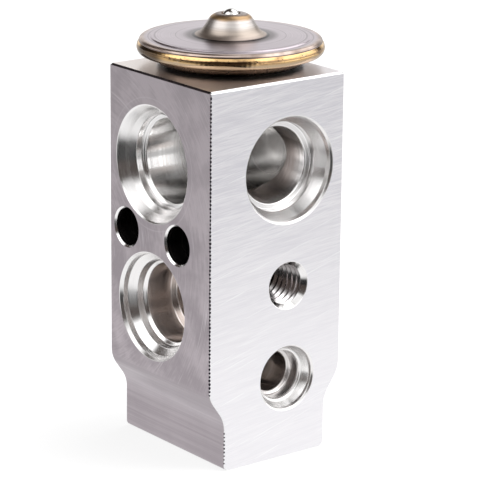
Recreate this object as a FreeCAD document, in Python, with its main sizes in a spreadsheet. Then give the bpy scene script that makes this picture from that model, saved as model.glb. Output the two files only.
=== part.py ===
import FreeCAD, Part
import math
import os
import types
import Sketcher

# Block-type expansion valve, 90 degree version.
# Frame: millimetres, +Z up. The valve axis is the Z axis and the underside of the foot is Z = 0.
# The liquid outlet and the suction inlet open on the -X face.
# The liquid inlet, the fixing thread and the suction outlet open on the -Y face.

PARTS_FOLDER = "parts"
START, END, CENTRE = range(1, 4)
ORIGIN = -1
TOLERANCE = 1e-6

# Driving dimensions: name, value, meaning
SIZES = (
    ("block_left", 16.6, "valve axis to the left face"),
    ("block_right", 11.4, "valve axis to the right face"),
    ("block_front", 16.5, "valve axis to the sawn front face"),
    ("block_back", 12.0, "valve axis to the sawn back face"),
    ("block_height", 66.0, "foot to the top face"),
    ("foot_inset", 3.2, "how far the foot stands back on each side"),
    ("foot_bend_low", 8.95, "corner where the foot starts to widen"),
    ("foot_bend_high", 13.52, "corner where the full width is reached"),
    ("foot_bend_radius", 5.0, "both arcs of the widening"),
    ("foot_corner_radius", 1.0, "lower edges of the foot"),
    ("sawn_chamfer", 0.35, "top edges of the two sawn faces"),
    ("drawn_chamfer", 0.2, "top edges of the two drawn faces"),
    ("suction_drop", 15.4, "top face to the centre of both suction ports"),
    ("liquid_outlet_height", 25.6, "centre of the liquid outlet"),
    ("liquid_inlet_height", 14.0, "centre of the liquid inlet"),
    ("fixing_height", 30.5, "centre of the M8 fixing thread"),
    ("drill_tip_slope", 0.6, "depth of a drill point over its radius"),
    ("clamp_hole_radius", 3.3, "clearance for M6 clamp screws"),
    ("clamp_hole_offset", 7.3, "clamp hole to the valve axis"),
    ("clamp_hole_chamfer", 0.3, "edge of the clamp holes"),
    ("head_thread_radius", 9.0, "M18 x 1 thread of the power head"),
    ("head_thread_depth", 6.6, "depth of that thread in the block"),
    ("head_gasket_chamfer", 1.55, "chamfer that holds the head gasket"),
    ("head_passage_radius", 5.5, "opening from the head to the suction bore"),
    ("gland_radius", 2.9, "seal gland round the pin"),
    ("gland_floor", 38.0, "floor of the seal gland"),
    ("pin_radius", 1.2, "push pin"),
    ("running_clearance", 0.05, "between pieces that slide or turn in each other"),
    ("orifice_radius", 1.8, "edge that the ball closes"),
    ("chamber_radius", 5.4, "inlet chamber"),
    ("chamber_roof", 18.0, "roof of the inlet chamber"),
    ("chamber_floor", 5.6, "where the chamber bore starts above the thread"),
    ("adjuster_thread_radius", 6.0, "M12 x 1 thread of the adjusting screw"),
    ("adjuster_mouth_chamfer", 0.5, "mouth of that thread"),
    ("cover_sheet", 1.1, "sheet of the upper cover"),
    ("cover_radius", 15.6, "edge of both covers"),
    ("cover_edge_round", 0.45, "rounded outer edge of the upper cover"),
    ("cover_rim_height", 4.6, "top of the upper cover's rim above the block"),
    ("cover_rim_width", 1.85, "edge of the upper cover to the step inside its rim"),
    ("cover_step", 0.2, "height of that step"),
    ("cover_dish", 0.1, "rise from the step to the dome"),
    ("dome_height", 8.65, "top of the dome above the block"),
    ("dome_shoulder", 3.17, "upper corner of the dome"),
    ("dome_foot", 5.43, "lower corner of the dome"),
    ("dome_shoulder_round", 2.2, "rounding of the upper corner"),
    ("dome_foot_round", 2.9, "rounding of the lower corner"),
    ("plug_radius", 1.55, "steel ball that closes the charge hole"),
    ("charge_hole_radius", 1.62, "charge hole at the top of the dome"),
    ("charge_seat_radius", 1.535, "charge hole at its lower edge"),
    ("plug_gap", 0.05, "how far the ball stands above full contact"),
    ("bead_bulge", 0.4, "weld bead beyond the covers"),
    ("bead_bottom", 2.05, "lower edge of the bead above the block"),
    ("bead_top", 3.95, "upper edge of the bead above the block"),
    ("diaphragm_sheet", 0.2, "sheet of the diaphragm"),
    ("diaphragm_rim_width", 3.6, "edge of the covers to the ripple of the diaphragm"),
    ("diaphragm_ripple", 0.35, "depth of its ring-shaped ripple"),
    ("diaphragm_ripple_width", 2.0, "width of that ripple"),
    ("collar_length", 6.2, "threaded collar below the block's top"),
    ("collar_bore", 6.3, "bore of the collar"),
    ("collar_chamfer", 0.5, "lower edge of the collar"),
    ("thread_clearance", 0.05, "between the threads' outlines"),
    ("seat_ring_width", 0.65, "ring of the lower cover that seats on the block round the gasket"),
    ("seat_ring_height", 0.4, "how far the cup stands clear of the block"),
    ("flange_width", 2.2, "flange of the lower cover outside its cup"),
    ("cup_taper", 1.0, "how far the cup narrows to its bottom"),
    ("flange_sheet", 1.3, "flange of the lower cover"),
    ("disc_room_rim", 2.8, "edge of the covers to the mouth of the room for the thrust disc"),
    ("disc_room_taper", 1.4, "how far that room narrows to its floor"),
    ("disc_room_floor", 1.3, "floor of that room above the block"),
    ("thrust_gap", 1.9, "thrust disc to the wall of that room"),
    ("thrust_sheet", 1.2, "thickness of the thrust disc"),
    ("hub_radius", 4.0, "hub of the thrust disc"),
    ("hub_length", 2.0, "hub below the disc"),
    ("rest_gap", 0.05, "between pieces that lean on each other"),
    ("rod_radius", 2.8, "sensing rod"),
    ("rod_foot_gap", 3.3, "lower end of the sensing rod above the seal's retainer"),
    ("rod_insertion", 1.2, "how deep the rod sits in the hub"),
    ("rod_chamfer", 0.4, "ends of the rod"),
    ("pin_socket", 1.0, "how deep the pin sits in the rod"),
    ("pin_tip_radius", 0.9, "pin inside the orifice"),
    ("pin_tip_length", 5.0, "length of that thinner end"),
    ("ball_radius", 2.4, "valve ball"),
    ("carrier_radius", 3.9, "ball carrier"),
    ("carrier_cup_radius", 2.6, "mouth of the carrier's conical cup"),
    ("carrier_cup_floor", 0.9, "flat bottom of that cup"),
    ("carrier_web", 0.9, "metal under the cup"),
    ("carrier_spigot_radius", 2.2, "spigot inside the spring"),
    ("carrier_spigot_length", 1.2, "length of that spigot"),
    ("damper_sheet", 0.3, "sheet of the damper spring"),
    ("damper_height", 3.0, "legs of the damper spring"),
    ("damper_gap", 0.1, "damper legs to the chamber wall"),
    ("damper_leg_width", 3.0, "width of a leg"),
    ("damper_legs", 4, "number of legs"),
    ("spring_mean_radius", 3.3, "middle of the spring wire"),
    ("spring_wire_radius", 0.3, "spring wire"),
    ("spring_turns", 3.5, "turns of the spring"),
    ("screw_recess", 0.8, "adjusting screw below the face of the foot"),
    ("screw_thread_length", 3.7, "threaded part of the adjusting screw"),
    ("screw_length", 8.8, "whole adjusting screw"),
    ("screw_chamfer", 0.5, "ends of the thread"),
    ("hex_across_flats", 5.0, "hexagon socket"),
    ("hex_depth", 2.6, "depth of the socket"),
    ("spring_cup_radius", 3.75, "cup that holds the spring"),
    ("spring_cup_depth", 1.6, "depth of that cup"),
    ("screw_groove_height", 6.3, "lower edge of the seal groove"),
    ("screw_groove_width", 1.1, "width of the seal groove"),
    ("screw_groove_radius", 4.3, "bottom of the seal groove"),
    ("screw_seal_wire", 0.5, "section radius of the screw's seal ring"),
    ("rod_seal_wire", 0.8, "section radius of the pin's seal ring"),
    ("retainer_sheet", 0.8, "retaining ring above the seal"),
    ("retainer_hole", 1.6, "hole of the retaining ring"),
    ("retainer_notch", 0.7, "spring notches of the retaining ring"),
    ("retainer_notches", 6, "number of notches"),
)

# Stages of each port from the face inwards: name, radius, depth.
# None means the same value as the stage before, and the first depth is the face itself.
PORT_STAGES = {
    "suction_inlet": (
        ("mouth", 10.15, None), ("lip", 9.95, 0.25), ("flare", 9.0, 1.75), ("cone", 8.17, 2.7),
        ("seat", None, 4.1), ("bore", 7.3, None), ("bore_end", None, 24.6)),
    "suction_outlet": (
        ("mouth", 9.25, None), ("lip", 8.95, 0.35), ("land", 8.85, 1.2), ("cone", 7.72, 3.0),
        ("seat", None, 4.3), ("bore", 6.6, None)),
    "liquid_outlet": (
        ("mouth", 9.45, None), ("lip", 9.1, 0.55), ("land", 9.0, 1.5), ("cone", 7.75, 2.5),
        ("seat", 7.5, 3.7), ("bore", 6.94, 4.1), ("bore_end", None, 9.2), ("drill", 5.5, 9.4),
        ("drill_end", None, 20.6)),
    "liquid_inlet": (
        ("mouth", 5.75, None), ("lip", 5.5, 0.3), ("land", 5.45, 0.85), ("cone", 4.7, 2.0),
        ("step", 4.35, 2.1), ("seat", 4.2, 2.5), ("seat_end", None, 4.55), ("bore", 3.5, None)),
    "fixing": (
        ("counterbore", 4.12, None), ("counterbore_end", None, 2.0), ("drill", 3.4, None),
        ("drill_end", None, 9.5)),
}


class Size:
    """A length with its present value and the sheet expression that gives it."""

    def __init__(self, value, text):
        self.value = value
        self.text = text

    def __add__(self, other):
        other = as_size(other)
        return Size(self.value + other.value, f"({self.text} + {other.text})")

    __radd__ = __add__

    def __sub__(self, other):
        other = as_size(other)
        return Size(self.value - other.value, f"({self.text} - {other.text})")

    def __rsub__(self, other):
        return as_size(other) - self

    def __mul__(self, other):
        other = as_size(other)
        return Size(self.value * other.value, f"({self.text} * {other.text})")

    __rmul__ = __mul__

    def __truediv__(self, other):
        other = as_size(other)
        return Size(self.value / other.value, f"({self.text} / {other.text})")

    def __neg__(self):
        return Size(-self.value, f"(-{self.text})")

    def root(self):
        """Square root."""
        return Size(math.sqrt(self.value), f"sqrt({self.text})")


def as_size(number):
    """Give a plain number the form of a size."""
    if isinstance(number, Size):
        return number
    return Size(float(number), str(number))


def sheet_rows():
    """All driving dimensions, the stages of the ports included."""
    rows = list(SIZES)
    for port, stages in PORT_STAGES.items():
        for stage, radius, depth in stages:
            place = f"{stage} of the {port}".replace("_", " ")
            if radius is not None:
                rows.append((f"{port}_{stage}_radius", radius, f"radius at the {place}"))
            if depth is not None:
                rows.append((f"{port}_{stage}_depth", depth, f"depth of the {place}"))
    return rows


def make_sheet(rows):
    """Write the driving dimensions to the spreadsheet."""
    sheet = document.addObject("Spreadsheet::Sheet", "sizes")
    for row, (alias, value, meaning) in enumerate(rows, start=1):
        sheet.set(f"A{row}", meaning)
        sheet.set(f"B{row}", str(value))
        sheet.setAlias(f"B{row}", alias)
    document.recompute()


document = FreeCAD.newDocument("expansion_valve")
make_sheet(sheet_rows())
size = types.SimpleNamespace(
    **{alias: Size(value, f"sizes.{alias}") for alias, value, _ in sheet_rows()})
nodes = []


def add_body(label):
    """Start a sub-part that is built from sketches and features."""
    body = document.addObject("PartDesign::Body", label)
    body.Label = label
    body.Placement = FreeCAD.Placement()
    nodes.append(body)
    return body


def origin_plane(body, role):
    """One of the body's own origin planes."""
    return next(item for item in body.Origin.OriginFeatures if item.Role == role)


def add_sketch(body, name, plane):
    """Attach a sketch to one of the body's origin planes."""
    sketch = body.newObject("Sketcher::SketchObject", name)
    sketch.AttachmentSupport = (origin_plane(body, plane), [""])
    sketch.MapMode = "FlatFace"
    return sketch


def bind_point(sketch, element, end, corner):
    """Tie an end of a sketch line to the sheet."""
    for kind, distance in zip(("DistanceX", "DistanceY"), map(as_size, corner)):
        rule = Sketcher.Constraint(kind, ORIGIN, START, element, end, distance.value)
        number = sketch.addConstraint(rule)
        sketch.setExpression(f"Constraints[{number}]", distance.text)


def vector(corner):
    """A sketch point at the present sizes."""
    return FreeCAD.Vector(*(as_size(part).value for part in corner), 0)


def draw_outline(sketch, corners):
    """Close a polygon through the corners and bind each of them."""
    count = len(corners)
    for index, corner in enumerate(corners):
        following = corners[(index + 1) % count]
        sketch.addGeometry(Part.LineSegment(vector(corner), vector(following)), False)
    for index, corner in enumerate(corners):
        sketch.addConstraint(
            Sketcher.Constraint("Coincident", index, END, (index + 1) % count, START))
        bind_point(sketch, index, START, corner)


def draw_axis(sketch, start, end):
    """Add a bound construction line that a groove turns about."""
    line = sketch.addGeometry(Part.LineSegment(vector(start), vector(end)), True)
    bind_point(sketch, line, START, start)
    bind_point(sketch, line, END, end)


def turn(body, name, corners):
    """Revolve an outline of radius and height about the valve axis."""
    sketch = add_sketch(body, f"{name}_sketch", "XZ_Plane")
    draw_outline(sketch, corners)
    feature = body.newObject("PartDesign::Revolution", name)
    feature.Profile = sketch
    feature.ReferenceAxis = (sketch, ["V_Axis"])
    return feature


def bore(body, name, corners):
    """Cut an outline of radius and height, turned about the valve axis."""
    sketch = add_sketch(body, f"{name}_sketch", "XZ_Plane")
    draw_outline(sketch, corners)
    feature = body.newObject("PartDesign::Groove", name)
    feature.Profile = sketch
    feature.ReferenceAxis = (sketch, ["V_Axis"])
    return feature


def port_corners(port, face, height, end):
    """Outline of half a port: distance along its axis, then height."""
    corners = [(-face, height)]
    radius = depth = as_size(0)
    for stage, stage_radius, stage_depth in PORT_STAGES[port]:
        if stage_radius is not None:
            radius = getattr(size, f"{port}_{stage}_radius")
        if stage_depth is not None:
            depth = getattr(size, f"{port}_{stage}_depth")
        corners.append((depth - face, height + radius))
    if end == "axis":
        corners += [(0, height + radius), (0, height)]
    elif end == "flat":
        corners.append((depth - face, height))
    else:
        corners.append((depth + radius * size.drill_tip_slope - face, height))
    return corners


def cut_port(body, port, plane, face, height, end):
    """Turn a port into the face that the sketch plane stands square to."""
    sketch = add_sketch(body, f"{port}_sketch", plane)
    draw_outline(sketch, port_corners(port, face, height, end))
    draw_axis(sketch, (-face, height), (0, height))
    feature = body.newObject("PartDesign::Groove", port)
    feature.Profile = sketch
    feature.ReferenceAxis = (sketch, ["Axis0"])
    return feature


def near(value, wanted):
    """Whether a measured length is the wanted size."""
    return abs(value - as_size(wanted).value) < TOLERANCE


def named_edges(feature, test):
    """Names of the feature's edges that pass the test."""
    document.recompute()
    names = [f"Edge{number}" for number, edge in enumerate(feature.Shape.Edges, start=1) if test(edge)]
    if not names:
        raise RuntimeError(f"{feature.Label}: no edge found")
    return feature, names


def ring_edge(radius, height):
    """Test for a circle about the valve axis."""
    def test(edge):
        return (isinstance(edge.Curve, Part.Circle) and near(edge.Curve.Radius, radius)
                and near(edge.Curve.Center.z, height))
    return test


def depth_edge(x, z):
    """Test for a straight edge along Y."""
    def test(edge):
        ends = [vertex.Point for vertex in edge.Vertexes]
        return len(ends) == 2 and all(near(point.x, x) and near(point.z, z) for point in ends)
    return test


def width_edge(y, z):
    """Test for a straight edge along X."""
    def test(edge):
        ends = [vertex.Point for vertex in edge.Vertexes]
        return len(ends) == 2 and all(near(point.y, y) and near(point.z, z) for point in ends)
    return test


def round_edges(body, name, feature, radius, tests):
    """Round the edges that pass one of the tests."""
    fillet = body.newObject("PartDesign::Fillet", name)
    fillet.Base = named_edges(feature, lambda edge: any(test(edge) for test in tests))
    fillet.setExpression("Radius", radius.text)
    return fillet


def chamfer_edges(body, name, feature, width, tests):
    """Chamfer the edges that pass one of the tests."""
    chamfer = body.newObject("PartDesign::Chamfer", name)
    chamfer.Base = named_edges(feature, lambda edge: any(test(edge) for test in tests))
    chamfer.setExpression("Size", width.text)
    return chamfer


def add_ring(label, ring_radius, wire_radius, height):
    """A seal ring of round section about the valve axis."""
    ring = document.addObject("Part::Torus", label)
    ring.Label = label
    ring.setExpression("Radius1", ring_radius.text)
    ring.setExpression("Radius2", wire_radius.text)
    ring.setExpression("Placement.Base.z", height.text)
    nodes.append(ring)


def add_ball(label, radius, height):
    """A ball on the valve axis."""
    ball = document.addObject("Part::Sphere", label)
    ball.Label = label
    ball.setExpression("Radius", radius.text)
    ball.setExpression("Placement.Base.z", height.text)
    nodes.append(ball)


# Places that follow from the driving dimensions
suction_height = size.block_height - size.suction_drop
clamp_hole_height = (suction_height + size.liquid_outlet_height) / 2
cover_step_radius = size.cover_radius - size.cover_rim_width
cup_neck_radius = size.cover_radius - size.flange_width
cup_radius = cup_neck_radius - size.cup_taper
seat_ring_radius = size.head_thread_radius + size.head_gasket_chamfer + size.seat_ring_width
disc_room_mouth = size.cover_radius - size.disc_room_rim
disc_room_radius = disc_room_mouth - size.disc_room_taper
thrust_radius = disc_room_radius - size.thrust_gap
diaphragm_flat = size.cover_radius - size.diaphragm_rim_width - size.diaphragm_ripple_width
diaphragm_top = size.block_height + size.cover_rim_height - size.cover_sheet
diaphragm_bottom = diaphragm_top - size.diaphragm_sheet
thrust_top = diaphragm_bottom - size.rest_gap
thrust_bottom = thrust_top - size.thrust_sheet
hub_bottom = thrust_bottom - size.hub_length
rod_top = hub_bottom + size.rod_insertion
gland_seal_height = size.gland_floor + size.rod_seal_wire + size.rest_gap
retainer_bottom = gland_seal_height + size.rod_seal_wire + size.rest_gap
rod_foot_height = retainer_bottom + size.retainer_sheet + size.rod_foot_gap
pin_top = rod_foot_height + size.pin_socket
ball_height = (size.chamber_roof - size.rest_gap
               - (size.ball_radius * size.ball_radius
                  - size.orifice_radius * size.orifice_radius).root())
pin_foot = ball_height + size.ball_radius + size.rest_gap
cup_point = ball_height - (size.ball_radius + size.rest_gap) * as_size(2).root()
carrier_bottom = cup_point + size.carrier_cup_floor - size.carrier_web
damper_bottom = carrier_bottom - size.rest_gap - size.damper_sheet
spring_top = damper_bottom - size.rest_gap
screw_top = size.screw_recess + size.screw_length
spring_floor = screw_top - size.spring_cup_depth
dome_slope = (size.dome_foot - size.dome_shoulder) / (
    size.dome_height - size.cover_rim_height - size.cover_step - size.cover_dish)


def make_block():
    """Drawn aluminium profile, sawn to depth, with its foot, ports and valve bores."""
    body = add_body("valve_block")
    left, right = -size.block_left, size.block_right
    foot_left, foot_right = left + size.foot_inset, right - size.foot_inset
    profile = add_sketch(body, "profile", "XZ_Plane")
    draw_outline(profile, [
        (foot_left, 0), (foot_right, 0), (foot_right, size.foot_bend_low),
        (right, size.foot_bend_high), (right, size.block_height), (left, size.block_height),
        (left, size.foot_bend_high), (foot_left, size.foot_bend_low)])
    pad = body.newObject("PartDesign::Pad", "drawn_profile")
    pad.Profile = profile
    pad.SideType = "Two sides"
    pad.setExpression("Length", size.block_front.text)
    pad.setExpression("Length2", size.block_back.text)
    bends = round_edges(body, "foot_bends", pad, size.foot_bend_radius, [
        depth_edge(foot_left, size.foot_bend_low), depth_edge(foot_right, size.foot_bend_low),
        depth_edge(left, size.foot_bend_high), depth_edge(right, size.foot_bend_high)])
    corners = round_edges(body, "foot_corners", bends, size.foot_corner_radius, [
        depth_edge(foot_left, 0), depth_edge(foot_right, 0)])
    sawn = chamfer_edges(body, "sawn_edges", corners, size.sawn_chamfer, [
        width_edge(-size.block_front, size.block_height),
        width_edge(size.block_back, size.block_height)])
    chamfer_edges(body, "drawn_edges", sawn, size.drawn_chamfer, [
        lambda edge: any(near(edge.BoundBox.XMin, x) and near(edge.BoundBox.XMax, x)
                         and near(edge.BoundBox.ZMin, size.block_height)
                         and near(edge.BoundBox.ZMax, size.block_height) for x in (left, right))])
    cut_valve_bores(body)
    cut_port(body, "suction_inlet", "XZ_Plane", size.block_left, suction_height, "flat")
    cut_port(body, "liquid_outlet", "XZ_Plane", size.block_left, size.liquid_outlet_height, "tip")
    cut_port(body, "suction_outlet", "YZ_Plane", size.block_front, suction_height, "axis")
    cut_port(body, "liquid_inlet", "YZ_Plane", size.block_front, size.liquid_inlet_height, "axis")
    cut_port(body, "fixing", "YZ_Plane", size.block_front, size.fixing_height, "tip")
    cut_clamp_holes(body)


def cut_valve_bores(body):
    """Head thread, seal gland, pin guide, orifice, chamber and adjuster thread in one line."""
    top = size.block_height
    head_floor = top - size.head_thread_depth
    guide = size.pin_radius + size.running_clearance
    mouth = size.adjuster_thread_radius + size.adjuster_mouth_chamfer
    bore(body, "valve_bores", [
        (0, top),
        (size.head_thread_radius + size.head_gasket_chamfer, top),
        (size.head_thread_radius, top - size.head_gasket_chamfer),
        (size.head_thread_radius, head_floor),
        (size.head_passage_radius, head_floor),
        (size.head_passage_radius, suction_height),
        (size.gland_radius, suction_height),
        (size.gland_radius, size.gland_floor),
        (guide, size.gland_floor),
        (guide, size.liquid_outlet_height),
        (size.orifice_radius, size.liquid_outlet_height),
        (size.orifice_radius, size.chamber_roof),
        (size.chamber_radius, size.chamber_roof),
        (size.chamber_radius, size.chamber_floor),
        (size.adjuster_thread_radius, size.chamber_floor),
        (size.adjuster_thread_radius, size.adjuster_mouth_chamfer),
        (mouth, 0),
        (0, 0)])


def cut_clamp_holes(body):
    """Two chamfered holes through the block, side by side above the liquid outlet."""
    sketch = add_sketch(body, "clamp_hole_sketch", "XZ_Plane")
    sketch.setExpression("AttachmentOffset.Base.z", size.clamp_hole_offset.text)
    left, right = -size.block_left, size.block_right
    height, edge = clamp_hole_height, size.clamp_hole_chamfer
    wall = height + size.clamp_hole_radius
    draw_outline(sketch, [
        (left, height), (left, wall + edge), (left + edge, wall),
        (right - edge, wall), (right, wall + edge), (right, height)])
    draw_axis(sketch, (left, height), (0, height))
    hole = body.newObject("PartDesign::Groove", "clamp_hole")
    hole.Profile = sketch
    hole.ReferenceAxis = (sketch, ["Axis0"])
    document.recompute()
    twin = body.newObject("PartDesign::Mirrored", "clamp_hole_twin")
    twin.Originals = [hole]
    twin.MirrorPlane = (origin_plane(body, "XZ_Plane"), [""])
    body.Tip = twin


def make_upper_cover():
    """Pressed lid of the power head with its domed, pierced middle."""
    body = add_body("head_upper_cover")
    top = size.block_height
    rim = top + size.cover_rim_height
    disc = rim + size.cover_step
    foot = disc + size.cover_dish
    dome = top + size.dome_height
    sheet = size.cover_sheet
    sideways = sheet * (1 + dome_slope * dome_slope).root()
    inner_shoulder = size.dome_shoulder + dome_slope * sheet - sideways
    inner_foot = size.dome_foot + dome_slope * sheet - sideways
    pressed = turn(body, "pressed_sheet", [
        (size.charge_hole_radius, dome), (size.dome_shoulder, dome), (size.dome_foot, foot),
        (cover_step_radius - size.cover_step, disc), (cover_step_radius, rim),
        (size.cover_radius, rim), (size.cover_radius, rim - sheet),
        (cover_step_radius, rim - sheet),
        (cover_step_radius - size.cover_step, disc - sheet),
        (inner_foot, foot - sheet), (inner_shoulder, dome - sheet),
        (size.charge_seat_radius, dome - sheet)])
    shoulder = round_edges(body, "dome_shoulder", pressed, size.dome_shoulder_round,
                           [ring_edge(size.dome_shoulder, dome)])
    inside = round_edges(body, "dome_shoulder_inside", shoulder, size.dome_shoulder_round - sheet,
                         [ring_edge(inner_shoulder, dome - sheet)])
    foot_round = round_edges(body, "dome_foot", inside, size.dome_foot_round,
                             [ring_edge(size.dome_foot, foot)])
    foot_inside = round_edges(body, "dome_foot_inside", foot_round, size.dome_foot_round + sheet,
                              [ring_edge(inner_foot, foot - sheet)])
    round_edges(body, "cover_edge", foot_inside, size.cover_edge_round,
                [ring_edge(size.cover_radius, rim)])


def make_lower_cover():
    """Turned lower half of the power head: threaded collar, seat ring, cup and flange."""
    body = add_body("head_lower_cover")
    top = size.block_height
    thread = size.head_thread_radius - size.thread_clearance
    collar_end = top - size.collar_length
    flange_bottom = diaphragm_bottom - size.flange_sheet
    turn(body, "turned_cover", [
        (size.collar_bore, collar_end), (thread - size.collar_chamfer, collar_end),
        (thread, collar_end + size.collar_chamfer), (thread, top),
        (seat_ring_radius, top), (seat_ring_radius, top + size.seat_ring_height),
        (cup_radius, top + size.seat_ring_height), (cup_neck_radius, flange_bottom),
        (size.cover_radius, flange_bottom), (size.cover_radius, diaphragm_bottom),
        (disc_room_mouth, diaphragm_bottom),
        (disc_room_radius, top + size.disc_room_floor),
        (size.collar_bore, top + size.disc_room_floor)])


def make_weld_bead():
    """Bead that joins both covers and the diaphragm all round."""
    body = add_body("rim_weld_bead")
    sketch = add_sketch(body, "bead_section", "XZ_Plane")
    low = (size.cover_radius, size.block_height + size.bead_bottom)
    high = (size.cover_radius, size.block_height + size.bead_top)
    half = (size.bead_top - size.bead_bottom) / 2
    crown = (size.cover_radius + size.bead_bulge, size.block_height + size.bead_bottom + half)
    arc_radius = (half * half + size.bead_bulge * size.bead_bulge) / (2 * size.bead_bulge)
    line = sketch.addGeometry(Part.LineSegment(vector(high), vector(low)), False)
    arc = sketch.addGeometry(Part.Arc(vector(low), vector(crown), vector(high)), False)
    bind_point(sketch, line, START, high)
    bind_point(sketch, line, END, low)
    sketch.addConstraint(Sketcher.Constraint("Coincident", line, END, arc, START))
    sketch.addConstraint(Sketcher.Constraint("Coincident", line, START, arc, END))
    number = sketch.addConstraint(Sketcher.Constraint("Radius", arc, arc_radius.value))
    sketch.setExpression(f"Constraints[{number}]", arc_radius.text)
    bead = body.newObject("PartDesign::Revolution", "bead")
    bead.Profile = sketch
    bead.ReferenceAxis = (sketch, ["V_Axis"])


def make_diaphragm():
    """Thin steel sheet with one ring-shaped ripple, clamped at the rim."""
    body = add_body("diaphragm")
    inner = diaphragm_flat
    middle = inner + size.diaphragm_ripple_width / 2
    outer = inner + size.diaphragm_ripple_width
    dip = size.diaphragm_ripple
    turn(body, "rippled_sheet", [
        (0, diaphragm_top), (inner, diaphragm_top), (middle, diaphragm_top - dip),
        (outer, diaphragm_top), (size.cover_radius, diaphragm_top),
        (size.cover_radius, diaphragm_bottom), (outer, diaphragm_bottom),
        (middle, diaphragm_bottom - dip), (inner, diaphragm_bottom), (0, diaphragm_bottom)])


def make_thrust_disc():
    """Disc under the diaphragm with a hub that takes the sensing rod."""
    body = add_body("thrust_disc")
    socket = size.rod_radius + size.running_clearance
    turn(body, "turned_disc", [
        (0, thrust_top), (thrust_radius, thrust_top), (thrust_radius, thrust_bottom),
        (size.hub_radius, thrust_bottom), (size.hub_radius, hub_bottom), (socket, hub_bottom),
        (socket, rod_top + size.rest_gap), (0, rod_top + size.rest_gap)])


def make_sensing_rod():
    """Rod across the suction passage, hollow at its foot for the pin."""
    body = add_body("sensing_rod")
    socket = size.pin_radius + size.running_clearance
    edge = size.rod_chamfer
    foot = rod_foot_height
    turn(body, "turned_rod", [
        (0, rod_top), (size.rod_radius - edge, rod_top), (size.rod_radius, rod_top - edge),
        (size.rod_radius, foot + edge), (size.rod_radius - edge, foot), (socket, foot),
        (socket, pin_top + size.rest_gap), (0, pin_top + size.rest_gap)])


def make_push_pin():
    """Pin from the sensing rod to the ball, thinner where it passes the orifice."""
    body = add_body("push_pin")
    neck = pin_foot + size.pin_tip_length
    turn(body, "turned_pin", [
        (0, pin_top), (size.pin_radius, pin_top),
        (size.pin_radius, neck + size.pin_radius - size.pin_tip_radius),
        (size.pin_tip_radius, neck), (size.pin_tip_radius, pin_foot), (0, pin_foot)])


def make_ball_carrier():
    """Carrier with a conical cup for the ball and a spigot for the spring."""
    body = add_body("ball_carrier")
    rim = cup_point + size.carrier_cup_radius
    cup_floor = cup_point + size.carrier_cup_floor
    turn(body, "turned_carrier", [
        (0, cup_floor), (size.carrier_cup_floor, cup_floor), (size.carrier_cup_radius, rim),
        (size.carrier_radius, rim), (size.carrier_radius, carrier_bottom),
        (size.carrier_spigot_radius, carrier_bottom),
        (size.carrier_spigot_radius, carrier_bottom - size.carrier_spigot_length),
        (0, carrier_bottom - size.carrier_spigot_length)])


def make_damper_spring():
    """Sheet cup under the carrier whose legs brush the chamber wall and calm the ball."""
    body = add_body("damper_spring")
    outer = size.chamber_radius - size.damper_gap
    inner = outer - size.damper_sheet
    hole = size.carrier_spigot_radius + size.running_clearance
    floor_top = damper_bottom + size.damper_sheet
    cup = turn(body, "sheet_cup", [
        (hole, damper_bottom), (outer, damper_bottom), (outer, damper_bottom + size.damper_height),
        (inner, damper_bottom + size.damper_height), (inner, floor_top), (hole, floor_top)])
    document.recompute()
    sketch = add_sketch(body, "gap_sketch", "XY_Plane")
    sketch.setExpression("AttachmentOffset.Base.z",
                         (damper_bottom + size.damper_height).text)
    half = size.damper_leg_width / 2
    reach = size.chamber_radius + size.damper_gap
    start = size.carrier_radius + size.running_clearance
    draw_outline(sketch, [(start, half), (start, start), (half, start), (half, reach),
                          (reach, reach), (reach, half)])
    gap = body.newObject("PartDesign::Pocket", "leg_gap")
    gap.Profile = sketch
    gap.setExpression("Length", size.damper_height.text)
    document.recompute()
    if gap.Shape.Volume > cup.Shape.Volume - TOLERANCE:
        raise RuntimeError("damper_spring: the gaps between the legs cut nothing")
    pattern = body.newObject("PartDesign::PolarPattern", "leg_gaps")
    pattern.Originals = [gap]
    pattern.Axis = (sketch, ["N_Axis"])
    pattern.Angle = 360
    pattern.setExpression("Occurrences", size.damper_legs.text)
    body.Tip = pattern


def make_valve_spring():
    """Coil spring between the adjusting screw and the damper spring."""
    body = add_body("valve_spring")
    wire = size.spring_wire_radius
    foot = spring_floor + wire + size.rest_gap
    height = spring_top - size.rest_gap - wire - foot
    sketch = add_sketch(body, "wire_section", "XZ_Plane")
    centre = (size.spring_mean_radius, foot)
    upright = FreeCAD.Vector(0, 0, 1)
    circle = sketch.addGeometry(Part.Circle(vector(centre), upright, wire.value), False)
    bind_point(sketch, circle, CENTRE, centre)
    number = sketch.addConstraint(Sketcher.Constraint("Radius", circle, wire.value))
    sketch.setExpression(f"Constraints[{number}]", wire.text)
    coil = body.newObject("PartDesign::AdditiveHelix", "coil")
    coil.Profile = sketch
    coil.ReferenceAxis = (sketch, ["V_Axis"])
    coil.Mode = "pitch-height-angle"
    coil.setExpression("Pitch", (height / size.spring_turns).text)
    coil.setExpression("Height", height.text)


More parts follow.
